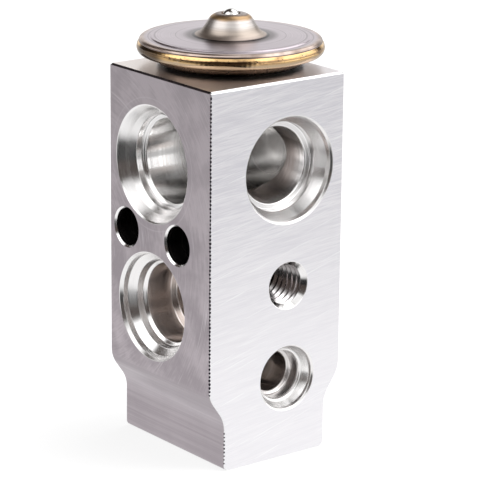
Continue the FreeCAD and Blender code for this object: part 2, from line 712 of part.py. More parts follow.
def make_adjusting_screw():
    """Hollow screw that sets the spring: thread, seal groove, spring cup and socket."""
    body = add_body("adjusting_screw")
    thread = size.adjuster_thread_radius - size.thread_clearance
    spigot = size.chamber_radius - size.running_clearance
    low, edge = size.screw_recess, size.screw_chamfer
    thread_top = low + size.screw_thread_length
    groove_low = size.screw_groove_height
    groove_high = groove_low + size.screw_groove_width
    turn(body, "turned_screw", [
        (0, low), (thread - edge, low), (thread, low + edge), (thread, thread_top - edge),
        (thread - edge, thread_top), (spigot, thread_top), (spigot, groove_low),
        (size.screw_groove_radius, groove_low), (size.screw_groove_radius, groove_high),
        (spigot, groove_high), (spigot, screw_top), (size.spring_cup_radius, screw_top),
        (size.spring_cup_radius, spring_floor), (0, spring_floor)])
    document.recompute()
    socket = body.newObject("PartDesign::SubtractivePrism", "hexagon_socket")
    socket.AttachmentSupport = (origin_plane(body, "XY_Plane"), [""])
    socket.MapMode = "FlatFace"
    socket.Polygon = 6
    socket.setExpression("AttachmentOffset.Base.z", low.text)
    socket.setExpression("Circumradius", (size.hex_across_flats / as_size(3).root()).text)
    socket.setExpression("Height", size.hex_depth.text)


def make_seal_retainer():
    """Notched spring ring that keeps the pin's seal in its gland."""
    body = add_body("seal_retainer")
    bottom = retainer_bottom
    outer = size.gland_radius - size.running_clearance
    turn(body, "sheet_ring", [
        (size.retainer_hole, bottom), (outer, bottom), (outer, bottom + size.retainer_sheet),
        (size.retainer_hole, bottom + size.retainer_sheet)])
    document.recompute()
    sketch = add_sketch(body, "notch_sketch", "XY_Plane")
    sketch.setExpression("AttachmentOffset.Base.z", (bottom + size.retainer_sheet).text)
    half = size.retainer_notch / 2
    start = (size.retainer_hole + outer) / 2
    reach = size.gland_radius + size.running_clearance
    draw_outline(sketch, [(start, -half), (reach, -half), (reach, half), (start, half)])
    notch = body.newObject("PartDesign::Pocket", "notch")
    notch.Profile = sketch
    notch.setExpression("Length", size.retainer_sheet.text)
    document.recompute()
    pattern = body.newObject("PartDesign::PolarPattern", "notches")
    pattern.Originals = [notch]
    pattern.Axis = (sketch, ["N_Axis"])
    pattern.Angle = 360
    pattern.setExpression("Occurrences", size.retainer_notches.text)
    body.Tip = pattern


def make_rings_and_balls():
    """Seal rings, the valve ball and the charge plug."""
    taper = (size.charge_hole_radius - size.charge_seat_radius) / size.cover_sheet
    touch = (size.plug_radius * (1 + taper * taper).root() - size.charge_seat_radius) / taper
    dome_inside = size.block_height + size.dome_height - size.cover_sheet
    add_ball("charge_plug", size.plug_radius, dome_inside + touch + size.plug_gap)
    add_ball("valve_ball", size.ball_radius, ball_height)
    add_ring("rod_seal_ring", size.gland_radius - size.running_clearance - size.rod_seal_wire,
             size.rod_seal_wire, gland_seal_height)
    add_ring("adjuster_seal_ring",
             size.chamber_radius - size.running_clearance - size.screw_seal_wire,
             size.screw_seal_wire, size.screw_groove_height + size.screw_groove_width / 2)
    corner = size.head_gasket_chamfer + size.thread_clearance
    gasket_wire = corner / (2 + as_size(2).root()) - size.rest_gap
    reach = gasket_wire + size.rest_gap
    add_ring("head_gasket_ring", size.head_thread_radius - size.thread_clearance + reach,
             gasket_wire, size.block_height - reach)


def check_document():
    """Stop at any feature that failed and at any sub-part without a valid solid."""
    document.recompute()
    for item in document.Objects:
        if any(word in ("Invalid", "Error") for word in item.State):
            raise RuntimeError(f"{item.Label}: {item.State}")
    for node in nodes:
        if node.Shape.isNull() or not node.Shape.isValid() or not node.Shape.Solids:
            raise RuntimeError(f"{node.Label}: no valid solid")


def main():
    """Build every sub-part, check the document and write one file for each."""
    make_block()
    make_upper_cover()
    make_lower_cover()
    make_weld_bead()
    make_diaphragm()
    make_thrust_disc()
    make_sensing_rod()
    make_push_pin()
    make_ball_carrier()
    make_damper_spring()
    make_valve_spring()
    make_adjusting_screw()
    make_seal_retainer()
    make_rings_and_balls()
    check_document()
    os.makedirs(PARTS_FOLDER, exist_ok=True)
    for node in nodes:
        node.Shape.exportStep(os.path.join(PARTS_FOLDER, f"{node.Label}.step"))
        box = node.Shape.BoundBox
        print(f"{node.Label:20s} solids {len(node.Shape.Solids)} volume {node.Shape.Volume:9.2f}"
              f" z {box.ZMin:7.2f} {box.ZMax:7.2f} x {box.XMin:7.2f} {box.XMax:7.2f}")


main()
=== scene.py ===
"""Dresses the frame of a block type expansion valve: finishes, threads, welds and tool marks.

Sizes are in millimetres and finished meshes in metres. The valve axis is the Z axis and the
underside of the foot is Z = 0. The sawn front face looks along -Y and the drawn left face, with
the clamp holes, along -X.
"""

import logging
import math
from collections.abc import Iterator, Sequence
from dataclasses import dataclass, field
from enum import Enum, IntEnum

import bmesh
import bpy
from mathutils import Matrix, Vector


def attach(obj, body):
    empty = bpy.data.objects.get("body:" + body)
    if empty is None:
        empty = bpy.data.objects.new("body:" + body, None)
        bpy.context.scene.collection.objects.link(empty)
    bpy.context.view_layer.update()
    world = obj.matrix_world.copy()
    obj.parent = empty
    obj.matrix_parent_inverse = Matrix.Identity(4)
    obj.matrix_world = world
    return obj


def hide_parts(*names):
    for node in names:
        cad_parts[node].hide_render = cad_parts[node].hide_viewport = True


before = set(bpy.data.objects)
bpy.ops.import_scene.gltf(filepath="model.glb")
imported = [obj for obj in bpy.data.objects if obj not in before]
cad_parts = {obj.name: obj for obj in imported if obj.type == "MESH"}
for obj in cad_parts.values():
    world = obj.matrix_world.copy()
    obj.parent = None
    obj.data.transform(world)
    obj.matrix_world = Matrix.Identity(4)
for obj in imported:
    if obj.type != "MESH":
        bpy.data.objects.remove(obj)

LOG = logging.getLogger("expansion_valve")
MM = 0.001

Socket = bpy.types.NodeSocket
Colour = tuple[float, float, float]
Spot = tuple[float, float, float]
Pair = tuple[float, float]

WHITE: Colour = (1.0, 1.0, 1.0)
# The values between which most of a random field lies, and its upper part.
MIDDLE: Pair = (0.3, 0.7)
UPPER: Pair = (0.35, 0.7)
# A pattern this long, in millimetres, hardly changes along its axis.
THROUGH = 40.0
# How far a cutting tool stands out of the face that it cuts, in millimetres.
OVERSHOOT = 1.0


class Body(Enum):
    """The bodies that added pieces ride on."""

    BLOCK = "block_assembly"


class Way(Enum):
    """The direction of a bore or a lathe axis, from its mouth inwards."""

    RIGHT = (1.0, 0.0, 0.0)
    BACK = (0.0, 1.0, 0.0)
    UP = (0.0, 0.0, 1.0)

    def placed(self, mouth: Sequence[float]) -> Matrix:
        """Turn the Z axis to this way and move the origin to the mouth, in millimetres."""
        turn = Vector((0, 0, 1)).rotation_difference(Vector(self.value)).to_matrix().to_4x4()
        return Matrix.Translation(mouth) @ turn


class Pen:
    """Draws the nodes of one material, world or geometry tree."""

    def __init__(self, tree: bpy.types.NodeTree) -> None:
        """Start on an empty tree."""
        self.tree = tree
        tree.nodes.clear()

    def feed(self, socket: Socket, value: object) -> None:
        """Give an input its value, or join it to the output that gives it.

        Args:
            socket: The input.
            value: An output socket, or the value itself.
        """
        if isinstance(value, Socket):
            self.tree.links.new(value, socket)
        elif socket.type == "RGBA" and len(value) == 3:
            socket.default_value = (*value, 1.0)
        else:
            socket.default_value = value

    def node(self, kind: str, inputs: dict | None = None, **settings: object) -> bpy.types.Node:
        """Add a node.

        Args:
            kind: Its Blender type.
            inputs: What its inputs take, by name or number.
            **settings: Its own properties.

        Returns:
            The node.
        """
        node = self.tree.nodes.new(kind)
        for name, value in settings.items():
            setattr(node, name, value)
        for key, value in (inputs or {}).items():
            self.feed(node.inputs[key], value)
        return node

    def math(self, operation: str, *values: object, clamp: bool = False) -> Socket:
        """Work out one number from others."""
        inputs = dict(enumerate(values))
        return self.node("ShaderNodeMath", inputs, operation=operation, use_clamp=clamp).outputs[0]

    def plus(self, first: object, second: object, clamp: bool = False) -> Socket:
        """Add two numbers."""
        return self.math("ADD", first, second, clamp=clamp)

    def minus(self, first: object, second: object, clamp: bool = False) -> Socket:
        """Take the second number from the first."""
        return self.math("SUBTRACT", first, second, clamp=clamp)

    def times(self, first: object, second: object) -> Socket:
        """Multiply two numbers."""
        return self.math("MULTIPLY", first, second)

    def rest(self, share: Socket) -> Socket:
        """Give what a share leaves of one."""
        return self.minus(1.0, share)

    def vector_math(self, operation: str, *values: object) -> Socket:
        """Work out a vector, or its length or product, from others."""
        node = self.node("ShaderNodeVectorMath", dict(enumerate(values)), operation=operation)
        return node.outputs["Value" if operation in ("LENGTH", "DOT_PRODUCT") else "Vector"]

    def place(self) -> Socket:
        """Give the place on the object in metres."""
        return self.node("ShaderNodeTexCoord").outputs["Object"]

    def parts(self, vector: Socket) -> tuple[Socket, ...]:
        """Split a vector into its three numbers."""
        return tuple(self.node("ShaderNodeSeparateXYZ", {0: vector}).outputs)

    def joined(self, *values: object) -> Socket:
        """Make a vector of up to three numbers."""
        return self.node("ShaderNodeCombineXYZ", dict(enumerate(values))).outputs[0]

    def noise(self, vector: Socket, detail: float = 2.0, roughness: float = 0.55) -> Socket:
        """Give a soft random field from 0 to 1 with features about one unit wide."""
        inputs = {"Vector": vector, "Scale": 1.0, "Detail": detail, "Roughness": roughness}
        return self.node("ShaderNodeTexNoise", inputs).outputs["Fac"]

    def streaks(self, vector: Socket, lengths: Sequence[float],
                turn: Sequence[float] = (0, 0, 0), detail: float = 2.0) -> Socket:
        """Give a random field that is stretched along turned axes.

        Args:
            vector: The place.
            lengths: How long a feature is along each axis, in millimetres.
            turn: How the axes are turned, in radians.
            detail: How much finer structure there is.

        Returns:
            The field, from 0 to 1.
        """
        inputs = {"Vector": vector, "Rotation": turn, "Scale": [length * MM for length in lengths]}
        mapping = self.node("ShaderNodeMapping", inputs, vector_type="TEXTURE")
        return self.noise(mapping.outputs[0], detail)

    def cloud(self, size: float, detail: float = 3.0) -> Socket:
        """Give a random field with round features of a size in millimetres."""
        return self.streaks(self.place(), (size,) * 3, detail=detail)

    def rings(self, distance: Socket, spacing: float, detail: float) -> Socket:
        """Give a random field along one distance, with features of a spacing in millimetres."""
        return self.noise(self.joined(self.math("DIVIDE", distance, spacing * MM)), detail)

    def span(self, value: Socket, low: float, high: float, start: float = 0.0, end: float = 1.0,
             smooth: bool = True) -> Socket:
        """Map a number from one range to another and hold it at the ends.

        Args:
            value: The number.
            low: The value that gives start.
            high: The value that gives end.
            start: The result at low.
            end: The result at high.
            smooth: Whether the change eases in and out.

        Returns:
            The mapped number.
        """
        inputs = {"Value": value, "From Min": low, "From Max": high, "To Min": start,
                  "To Max": end}
        kind = "SMOOTHSTEP" if smooth else "LINEAR"
        return self.node("ShaderNodeMapRange", inputs, interpolation_type=kind).outputs[0]

    def over(self, length: Socket, low: float, high: float, start: float = 0.0, end: float = 1.0,
             smooth: bool = True) -> Socket:
        """Do what span does for a length in metres, with low and high in millimetres."""
        return self.span(length, low * MM, high * MM, start, end, smooth)

    def line(self, value: Socket, middle: float, width: float) -> Socket:
        """Give 1 where a length in metres is near a middle in millimetres, and 0 elsewhere."""
        away = self.math("ABSOLUTE", self.minus(value, middle * MM))
        return self.over(away, 0.0, width, 1.0, 0.0)

    def mix(self, share: object, first: object, second: object, blend: str = "MIX") -> Socket:
        """Mix two colours.

        Args:
            share: How much of the second there is.
            first: The colour at 0.
            second: The colour at 1.
            blend: How they are mixed.

        Returns:
            The mixed colour.
        """
        inputs = {0: share, 6: first, 7: second}
        node = self.node("ShaderNodeMix", inputs, data_type="RGBA", blend_type=blend)
        return node.outputs[2]

    def ramp(self, value: Socket, stops: Sequence[tuple[float, Colour]]) -> Socket:
        """Give a colour that changes along a number from 0 to 1.

        Args:
            value: The number.
            stops: Places and their colours, in rising order.

        Returns:
            The colour.
        """
        node = self.node("ShaderNodeValToRGB", {"Fac": value})
        elements = node.color_ramp.elements
        while len(elements) < len(stops):
            elements.new(0.5)
        for element, (position, colour) in zip(elements, stops):
            element.position = position
            element.color = (*colour, 1.0)
        return node.outputs["Color"]

    def paint(self, shader: bpy.types.Node, colour: Socket) -> None:
        """Give a shader its colour."""
        self.feed(shader.inputs["Base Color"], colour)

    def bump(self, shader: bpy.types.Node, height: Socket, depth: float) -> None:
        """Let a height from 0 to 1 raise the surface by a depth in millimetres."""
        inputs = {"Height": height, "Distance": depth * MM, "Strength": 1.0}
        self.feed(shader.inputs["Normal"], self.node("ShaderNodeBump", inputs).outputs["Normal"])


@dataclass(frozen=True)
class Finish:
    """A plain finish, and the base of the others."""

    name: str
    colour: Colour
    roughness: float = 0.35
    metallic: float = 1.0
    gloss: Pair = (0.85, 1.2)
    mottle_size: float = 1.4
    mottle_shade: float = 0.86

    def material(self) -> bpy.types.Material:
        """Make this finish's material, or give the one that is already made.

        Returns:
            The material.
        """
        found = bpy.data.materials.get(self.name)
        if found:
            return found
        made = bpy.data.materials.new(self.name)
        made.use_nodes = True
        pen = Pen(made.node_tree)
        shader = pen.node("ShaderNodeBsdfPrincipled", {
            "Base Color": self.colour, "Metallic": self.metallic, "Roughness": self.roughness})
        pen.node("ShaderNodeOutputMaterial", {"Surface": shader.outputs["BSDF"]})
        self.draw(pen, shader)
        return made

    def darker(self, share: float) -> Colour:
        """Give a share of this finish's colour."""
        return tuple(part * share for part in self.colour)

    def vary_gloss(self, pen: Pen, shader: bpy.types.Node, pattern: Socket,
                   edges: Pair = MIDDLE) -> None:
        """Let a pattern change the roughness from one share of it to the other.

        Args:
            pen: What draws the nodes.
            shader: The finish's shader.
            pattern: The pattern.
            edges: The pattern's values that give the first and the second share.
        """
        first, second = (self.roughness * share for share in self.gloss)
        pen.feed(shader.inputs["Roughness"], pen.span(pattern, *edges, first, second))

    def draw(self, pen: Pen, shader: bpy.types.Node) -> None:
        """Add faint mottling to the colour and the gloss.

        Args:
            pen: What draws the nodes.
            shader: The finish's shader.
        """
        mottle = pen.cloud(self.mottle_size)
        pen.paint(shader, pen.mix(mottle, self.darker(self.mottle_shade), self.colour))
        self.vary_gloss(pen, shader, mottle)


@dataclass(frozen=True)
class SawnFace(Finish):
    """A sawn and brushed face whose marks rise to the right."""

    shaded: Colour = (0.56, 0.55, 0.61)
    scratch: Colour = (0.99, 0.99, 1.0)
    mark_angle: float = 5.0
    mark_length: float = 4.0
    mark_width: float = 0.1
    mark_edges: Pair = (0.66, 0.36)
    broad_length: float = 12.0
    broad_width: float = 0.9
    broad_share: float = 0.4
    gloss: Pair = (1.15, 0.9)
    calm_height: float = 16.0
    rough_height: float = 60.0
    mark_levels: Pair = (0.14, 0.55)
    stray_lean: float = 10.0
    stray_length: float = 9.0
    stray_width: float = 0.16
    stray_edges: Pair = (0.74, 0.8)
    stray_light: float = 0.8
    relief: float = 0.004

    def draw(self, pen: Pen, shader: bpy.types.Node) -> None:
        """Lay fine marks over broad ones that grow weaker towards the foot, so the face is darker
        towards the top.

        Args:
            pen: What draws the nodes.
            shader: The finish's shader.
        """
        place = pen.place()
        _, _, up = pen.parts(place)
        turn = (0.0, -math.radians(self.mark_angle), 0.0)
        fine = pen.streaks(place, (self.mark_length, THROUGH, self.mark_width), turn)
        broad = pen.streaks(place, (self.broad_length, THROUGH, self.broad_width), turn, 3.0)
        pattern = pen.plus(pen.times(fine, 1 - self.broad_share),
                           pen.times(broad, self.broad_share))
        # The marks, and the darker tone that they bring, grow stronger with height.
        mark_level = pen.over(up, self.calm_height, self.rough_height, *self.mark_levels)
        marks = pen.times(pen.span(pattern, *self.mark_edges), mark_level)
        colour = pen.mix(marks, self.colour, self.shaded)
        lean = (0.0, -math.radians(self.mark_angle + self.stray_lean), 0.0)
        stray = pen.streaks(place, (self.stray_length, THROUGH, self.stray_width), lean, 0.0)
        lines = pen.times(pen.span(stray, *self.stray_edges), self.stray_light)
        pen.paint(shader, pen.mix(lines, colour, self.scratch))
        self.vary_gloss(pen, shader, pattern)
        pen.bump(shader, fine, self.relief)


@dataclass(frozen=True)
class DrawnFace(Finish):
    """A drawn face that was skimmed by a wide cutter, above a foot left as drawn."""

    bright: Colour = (0.53, 0.478, 0.507)
    scratch: Colour = (0.7, 0.66, 0.69)
    sweep_centre: Pair = (20.0, 34.0)
    mark_width: float = 0.24
    mark_stretch: float = 7.0
    mark_share: float = 0.34
    fine_line: Spot = (60.0, 30.0, 0.28)
    broad_line: Spot = (60.0, 40.0, 1.1)
    line_share: float = 0.46
    cloud_size: float = 6.0
    tone_edges: Pair = (0.38, 0.68)
    lift_heights: Pair = (24.0, 62.0)
    lift: float = 0.4
    foot_ends: Pair = (15.0, 13.0)
    foot_shade: float = 0.4
    port_height: float = 50.6
    tool_ring: float = 11.4
    tool_ring_width: float = 0.16
    stray_width: float = 0.2
    stray_stretch: float = 2.2
    stray_edges: Pair = (0.7, 0.8)
    stray_light: float = 0.5
    bend_height: float = 10.0
    bend_width: float = 4.5
    faint_light: float = 0.3
    relief: float = 0.003

    def draw(self, pen: Pen, shader: bpy.types.Node) -> None:
        """Lay the cutter's arcs on the upper part and drawing lines on the foot, with a painted
        highlight along the bend.

        Args:
            pen: What draws the nodes.
            shader: The finish's shader.
        """
        place = pen.place()
        _, across, up = pen.parts(place)
        side = pen.minus(across, self.sweep_centre[0] * MM)
        rise = pen.minus(up, self.sweep_centre[1] * MM)
        radius = pen.vector_math("LENGTH", pen.joined(side, rise))
        angle = pen.math("ARCTAN2", rise, side)
        arcs = pen.noise(pen.joined(pen.math("DIVIDE", radius, self.mark_width * MM),
                                    pen.times(angle, self.mark_stretch)))
        lines = pen.times(pen.plus(pen.streaks(place, self.fine_line),
                                   pen.streaks(place, self.broad_line)), 0.5)
        foot = pen.over(up, *self.foot_ends)
        marks = pen.plus(pen.times(arcs, pen.rest(foot)), pen.times(lines, foot))
        cloud = pen.cloud(self.cloud_size, 4.0)
        drawn = pen.plus(self.mark_share, pen.times(foot, self.line_share))
        pattern = pen.plus(pen.times(marks, drawn), pen.times(cloud, pen.rest(drawn)))
        share = pen.plus(pen.span(pattern, *self.tone_edges),
                         pen.over(up, *self.lift_heights, 0.0, self.lift), clamp=True)
        share = pen.times(share, pen.rest(pen.times(foot, self.foot_shade)))
        colour = pen.mix(share, self.colour, self.bright)
        above = pen.minus(up, self.port_height * MM)
        port = pen.vector_math("LENGTH", pen.joined(across, above))
        ring = pen.times(pen.line(port, self.tool_ring, self.tool_ring_width), self.faint_light)
        stray = pen.noise(pen.joined(pen.math("DIVIDE", radius, self.stray_width * MM),
                                     pen.times(angle, self.stray_stretch), 4.0), 0.0)
        scratches = pen.times(pen.span(stray, *self.stray_edges),
                              pen.times(pen.rest(foot), self.stray_light))
        # Painted highlight: a pale band along the bend above the foot.
        bend = pen.times(pen.line(up, self.bend_height, self.bend_width), self.faint_light)
        light = pen.math("MAXIMUM", pen.math("MAXIMUM", ring, scratches), bend)
        pen.paint(shader, pen.mix(light, colour, self.scratch))
        pen.bump(shader, marks, self.relief)


@dataclass(frozen=True)
class DrawnTop(Finish):
    """The drawn top face, with a painted warm reflection that grows towards the clamp side."""

    bright: Colour = (0.9, 0.86, 0.88)
    across: Spot = (0.79, -0.613, 0.0)
    fade: Pair = (-1.0, 17.0)
    line_size: Spot = (0.25, 30.0, 30.0)
    line_share: float = 0.09
    relief: float = 0.003

    def draw(self, pen: Pen, shader: bpy.types.Node) -> None:
        """Lay drawing lines along Y over a painted reflection that changes slowly across the face.

        Args:
            pen: What draws the nodes.
            shader: The finish's shader.
        """
        place = pen.place()
        # Painted reflection: warmer towards the clamp side, cooler towards the front right.
        side = pen.vector_math("DOT_PRODUCT", place, self.across)
        tone = pen.over(side, *self.fade)
        lines = pen.streaks(place, self.line_size, detail=3.0)
        share = pen.plus(tone, pen.span(lines, *MIDDLE, -self.line_share, self.line_share),
                         clamp=True)
        pen.paint(shader, pen.mix(share, self.colour, self.bright))
        pen.bump(shader, lines, self.relief)


@dataclass(frozen=True)
class TurnedBore(Finish):
    """A bore with the fine rings of a boring tool, which spread light along its axis, and painted
    shade deeper in.
    """

    way: Way = Way.RIGHT
    centre: Spot = (0.0, 0.0, 0.0)
    feed: float = 0.16
    grain: float = 0.85
    # Painted shade: the colour that the wall takes deeper in.
    deep: Colour = (0.88, 0.85, 0.83)
    reach: Pair = (3.0, 9.0)
    band_feeds: float = 4.0
    band_edges: Pair = (0.4, 0.6)
    dulled: Colour = (0.94, 0.935, 0.93)
    gloss: Pair = (1.2, 0.85)
    gloss_edges: Pair = (0.35, 0.65)
    relief: float = 0.0006

    def draw(self, pen: Pen, shader: bpy.types.Node) -> None:
        """Vary colour, gloss and relief along the tool's path, and paint shade deeper in the bore.

        Args:
            pen: What draws the nodes.
            shader: The finish's shader.
        """
        place = pen.vector_math("SUBTRACT", pen.place(), [part * MM for part in self.centre])
        along = pen.vector_math("DOT_PRODUCT", place, self.way.value)
        flat = pen.vector_math("SUBTRACT", place, pen.vector_math(
            "MULTIPLY", pen.joined(along, along, along), self.way.value))
        travel = pen.plus(along, pen.vector_math("LENGTH", flat))
        rings = pen.rings(travel, self.feed, 1.0)
        bands = pen.rings(travel, self.feed * self.band_feeds, 2.0)
        # Painted shade, darker from the mouth inwards.
        depth = pen.over(along, *self.reach)
        colour = pen.mix(depth, self.colour, self.deep)
        dull = pen.mix(1.0, colour, self.dulled, "MULTIPLY")
        pen.paint(shader, pen.mix(pen.span(bands, *self.band_edges), dull, colour))
        self.vary_gloss(pen, shader, bands, self.gloss_edges)
        pen.feed(shader.inputs["Anisotropic"], self.grain)
        pen.feed(shader.inputs["Tangent"], pen.vector_math(
            "SUBTRACT", self.way.value, pen.vector_math("NORMALIZE", flat)))
        pen.bump(shader, rings, self.relief)


@dataclass(frozen=True)
class ThreadTurns(Finish):
    """A cut thread whose upper turns are darkened by painted shade."""

    dark: Colour = (0.26, 0.24, 0.24)
    rise: Pair = (30.3, 32.6)

    def draw(self, pen: Pen, shader: bpy.types.Node) -> None:
        """Paint shade on the turns, darker with height.

        Args:
            pen: What draws the nodes.
            shader: The finish's shader.
        """
        _, _, up = pen.parts(pen.place())
        # Painted shade: the upper turns take the dark colour.
        share = pen.over(up, *self.rise)
        pen.paint(shader, pen.mix(share, self.colour, self.dark))


@dataclass(frozen=True)
class PressedCover(Finish):
    """Satin pressed sheet with draw rings, and a dome that was heat tinted in bands."""

    dark: Colour = (0.16, 0.13, 0.14)
    # The colour of the painted shade in the dome's crease.
    crease_shade: Colour = (0.03, 0.022, 0.02)
    turning: float = 0.22
    satin_shade: float = 0.84
    cloud_size: float = 3.0
    cloud_share: float = 0.3
    rings: tuple[Pair, ...] = ((9.4, 0.14), (12.95, 0.26), (14.05, 0.2))
    ring_share: float = 0.45
    warm: Colour = (0.72, 0.58, 0.5)
    brown: Colour = (0.3, 0.22, 0.17)
    patch_size: float = 5.0
    warm_radii: Pair = (14.2, 15.3)
    warm_share: float = 0.9
    dome_foot: float = 70.72
    dome_top: float = 74.65
    dome_waver: float = 0.02
    dome_line: Spot = (9.0, 9.0, 0.16)
    dome_line_edges: Pair = (0.6, 0.35)
    dome_line_share: float = 0.2
    dome_dulling: float = 0.08
    dome_edge: Pair = (6.25, 6.0)
    # Painted shade: a black line in the crease at the dome's foot.
    crease_radius: float = 6.4
    crease_width: float = 0.42
    # Painted dark reflection round the dome's foot, in the lid's dark colour.
    shadow_radii: Pair = (6.9, 8.7)
    shadow_share: float = 0.95
    # Painted shade: a dark line in the gap under the lid's edge.
    gap_shade_radii: Pair = (15.45, 15.58)
    gap_shade_height: float = 70.05
    gap_shade_width: float = 0.12
    bands: tuple[tuple[float, Colour], ...] = (
        (0.01, (0.4, 0.33, 0.28)), (0.08, (0.55, 0.46, 0.4)), (0.3, (0.5, 0.43, 0.37)),
        (0.4, (0.46, 0.4, 0.35)), (0.56, (0.64, 0.6, 0.57)), (0.76, (0.66, 0.61, 0.58)),
        (0.84, (0.5, 0.33, 0.18)), (0.93, (0.52, 0.34, 0.18)), (0.975, (0.26, 0.19, 0.15)),
        (1.0, (0.5, 0.44, 0.41)))
    relief: float = 0.002

    def draw(self, pen: Pen, shader: bpy.types.Node) -> None:
        """Draw the press rings on the lid, the tints on the dome, and painted shade at the dome's
        foot and under the lid's edge.

        Args:
            pen: What draws the nodes.
            shader: The finish's shader.
        """
        across, deep, up = pen.parts(pen.place())
        radius = pen.vector_math("LENGTH", pen.joined(across, deep))
        turned_marks = pen.rings(radius, self.turning, 2.0)
        cloud = pen.cloud(self.cloud_size)
        lid = self.lid_colour(pen, radius, turned_marks, cloud)
        raised = pen.over(radius, *self.dome_edge)
        # Painted dark reflection round the dome's foot.
        shadow = pen.over(radius, *self.shadow_radii, self.shadow_share, 0.0)
        dome = self.dome_colour(pen, up, cloud)
        colour = pen.mix(raised, pen.mix(shadow, lid, self.dark), dome)
        # Painted shade: a black line in the crease at the dome's foot.
        crease = pen.line(radius, self.crease_radius, self.crease_width)
        colour = pen.mix(crease, colour, self.crease_shade)
        # Painted shade: a dark line in the gap under the lid's edge.
        gap_shade = pen.times(pen.over(radius, *self.gap_shade_radii),
                            pen.line(up, self.gap_shade_height, self.gap_shade_width))
        pen.paint(shader, pen.mix(gap_shade, colour, self.dark))
        pen.feed(shader.inputs["Roughness"],
                 pen.plus(self.roughness, pen.times(raised, self.dome_dulling)))
        pen.bump(shader, turned_marks, self.relief)

    def lid_colour(self, pen: Pen, radius: Socket, marks: Socket, cloud: Socket) -> Socket:
        """Give the lid's colour: satin, draw rings and a rim that the weld browned.

        Args:
            pen: What draws the nodes.
            radius: The distance from the valve's axis.
            marks: The pattern of the turned marks.
            cloud: A slow random field.

        Returns:
            The colour.
        """
        lid = pen.mix(pen.span(marks, *UPPER), self.darker(self.satin_shade), self.colour)
        lid = pen.mix(pen.times(cloud, self.cloud_share), lid, self.dark)
        patches = pen.cloud(self.patch_size)
        heated = pen.mix(pen.span(patches, *UPPER), self.warm, self.brown)
        lid = pen.mix(pen.over(radius, *self.warm_radii, 0.0, self.warm_share), lid, heated)
        for middle, width in self.rings:
            ring = pen.times(pen.line(radius, middle, width), self.ring_share)
            lid = pen.mix(ring, lid, self.dark)
        return lid

    def dome_colour(self, pen: Pen, up: Socket, cloud: Socket) -> Socket:
        """Give the dome's colour: heat bands with fine turned lines.

        Args:
            pen: What draws the nodes.
            up: The height.
            cloud: A slow random field that lets the bands waver.

        Returns:
            The colour.
        """
        height = pen.over(up, self.dome_foot, self.dome_top, smooth=False)
        lines = pen.streaks(pen.place(), self.dome_line, detail=3.0)
        waver = pen.span(cloud, *MIDDLE, -self.dome_waver, self.dome_waver)
        dome = pen.ramp(pen.plus(height, waver), self.bands)
        share = pen.span(lines, *self.dome_line_edges, 0.0, self.dome_line_share)
        return pen.mix(share, dome, self.dark)


@dataclass(frozen=True)
class StainedCup(Finish):
    """Turned steel, heat stained, with a painted contact shadow where it sits on the block."""

    seat: float = 66.5
    contact_shadow_height: float = 0.7
    contact_shadow_level: float = 0.02

    def draw(self, pen: Pen, shader: bpy.types.Node) -> None:
        """Paint a contact shadow on the mottled steel, darkest at the seat.

        Args:
            pen: What draws the nodes.
            shader: The finish's shader.
        """
        super().draw(pen, shader)
        _, _, up = pen.parts(pen.place())
        colour = shader.inputs["Base Color"].links[0].from_socket
        # Painted contact shadow: the colour falls almost to black at the seat.
        level = pen.over(up, self.seat, self.seat + self.contact_shadow_height, self.contact_shadow_level, 1.0)
        pen.paint(shader, pen.mix(1.0, colour, pen.joined(level, level, level), "MULTIPLY"))


@dataclass(frozen=True)
class WeldTint(Finish):
    """A fused bead that goes from gold to bronze, with dark specks and one patch of painted dark
    reflection.
    """

    straw: Colour = (0.85, 0.56, 0.26)
    bronze: Colour = (0.34, 0.21, 0.11)
    # The colour of the dark specks, and of the painted dark reflection.
    soot_and_dark_reflection: Colour = (0.05, 0.035, 0.03)
    patch_size: Spot = (3.2, 3.2, 1.4)
    patch_edges: Pair = (0.28, 0.74)
    straw_places: Pair = (0.4, 0.8)
    # Where the painted dark reflection lies on the bead.
    dark_reflection_side: Spot = (-0.984, 0.168, 0.0)
    dark_reflection_reach: Pair = (15.0, 15.75)
    dark_reflection_share: float = 0.85
    seam: float = 69.3
    seam_width: float = 0.4
    seam_least: float = 0.4
    lip_heights: Pair = (68.6, 69.05)
    lip_share: float = 0.3
    speck_size: Spot = (0.55, 0.55, 0.4)
    speck_edges: Pair = (0.62, 0.7)
    speck_rise: float = 0.1
    speck_band: float = 0.5

    def draw(self, pen: Pen, shader: bpy.types.Node) -> None:
        """Tint the bead unevenly round the rim, darkest along its seam.

        Args:
            pen: What draws the nodes.
            shader: The finish's shader.
        """
        place = pen.place()
        _, _, up = pen.parts(place)
        patches = pen.streaks(place, self.patch_size, detail=3.0)
        low, high = self.straw_places
        colour = pen.ramp(pen.span(patches, *self.patch_edges, smooth=False), (
            (0.0, self.bronze), (low, self.straw), (high, self.straw), (1.0, self.colour)))
        above = pen.over(up, *self.lip_heights)
        colour = pen.mix(above, pen.mix(self.lip_share, self.bronze, self.colour), colour)
        seam = pen.times(pen.line(up, self.seam, self.seam_width),
                         pen.span(patches, *MIDDLE, 1.0, self.seam_least))
        colour = pen.mix(seam, colour, self.bronze)
        # Painted dark reflection on the bead's side towards the clamp face.
        dark_reflection = pen.over(pen.vector_math("DOT_PRODUCT", place, self.dark_reflection_side),
                        *self.dark_reflection_reach, 0.0, self.dark_reflection_share)
        colour = pen.mix(dark_reflection, colour, self.soot_and_dark_reflection)
        near = pen.line(up, self.seam + self.speck_rise, self.speck_band)
        specks = pen.span(pen.streaks(place, self.speck_size, detail=1.0), *self.speck_edges)
        pen.paint(shader, pen.mix(pen.times(specks, near), colour, self.soot_and_dark_reflection))


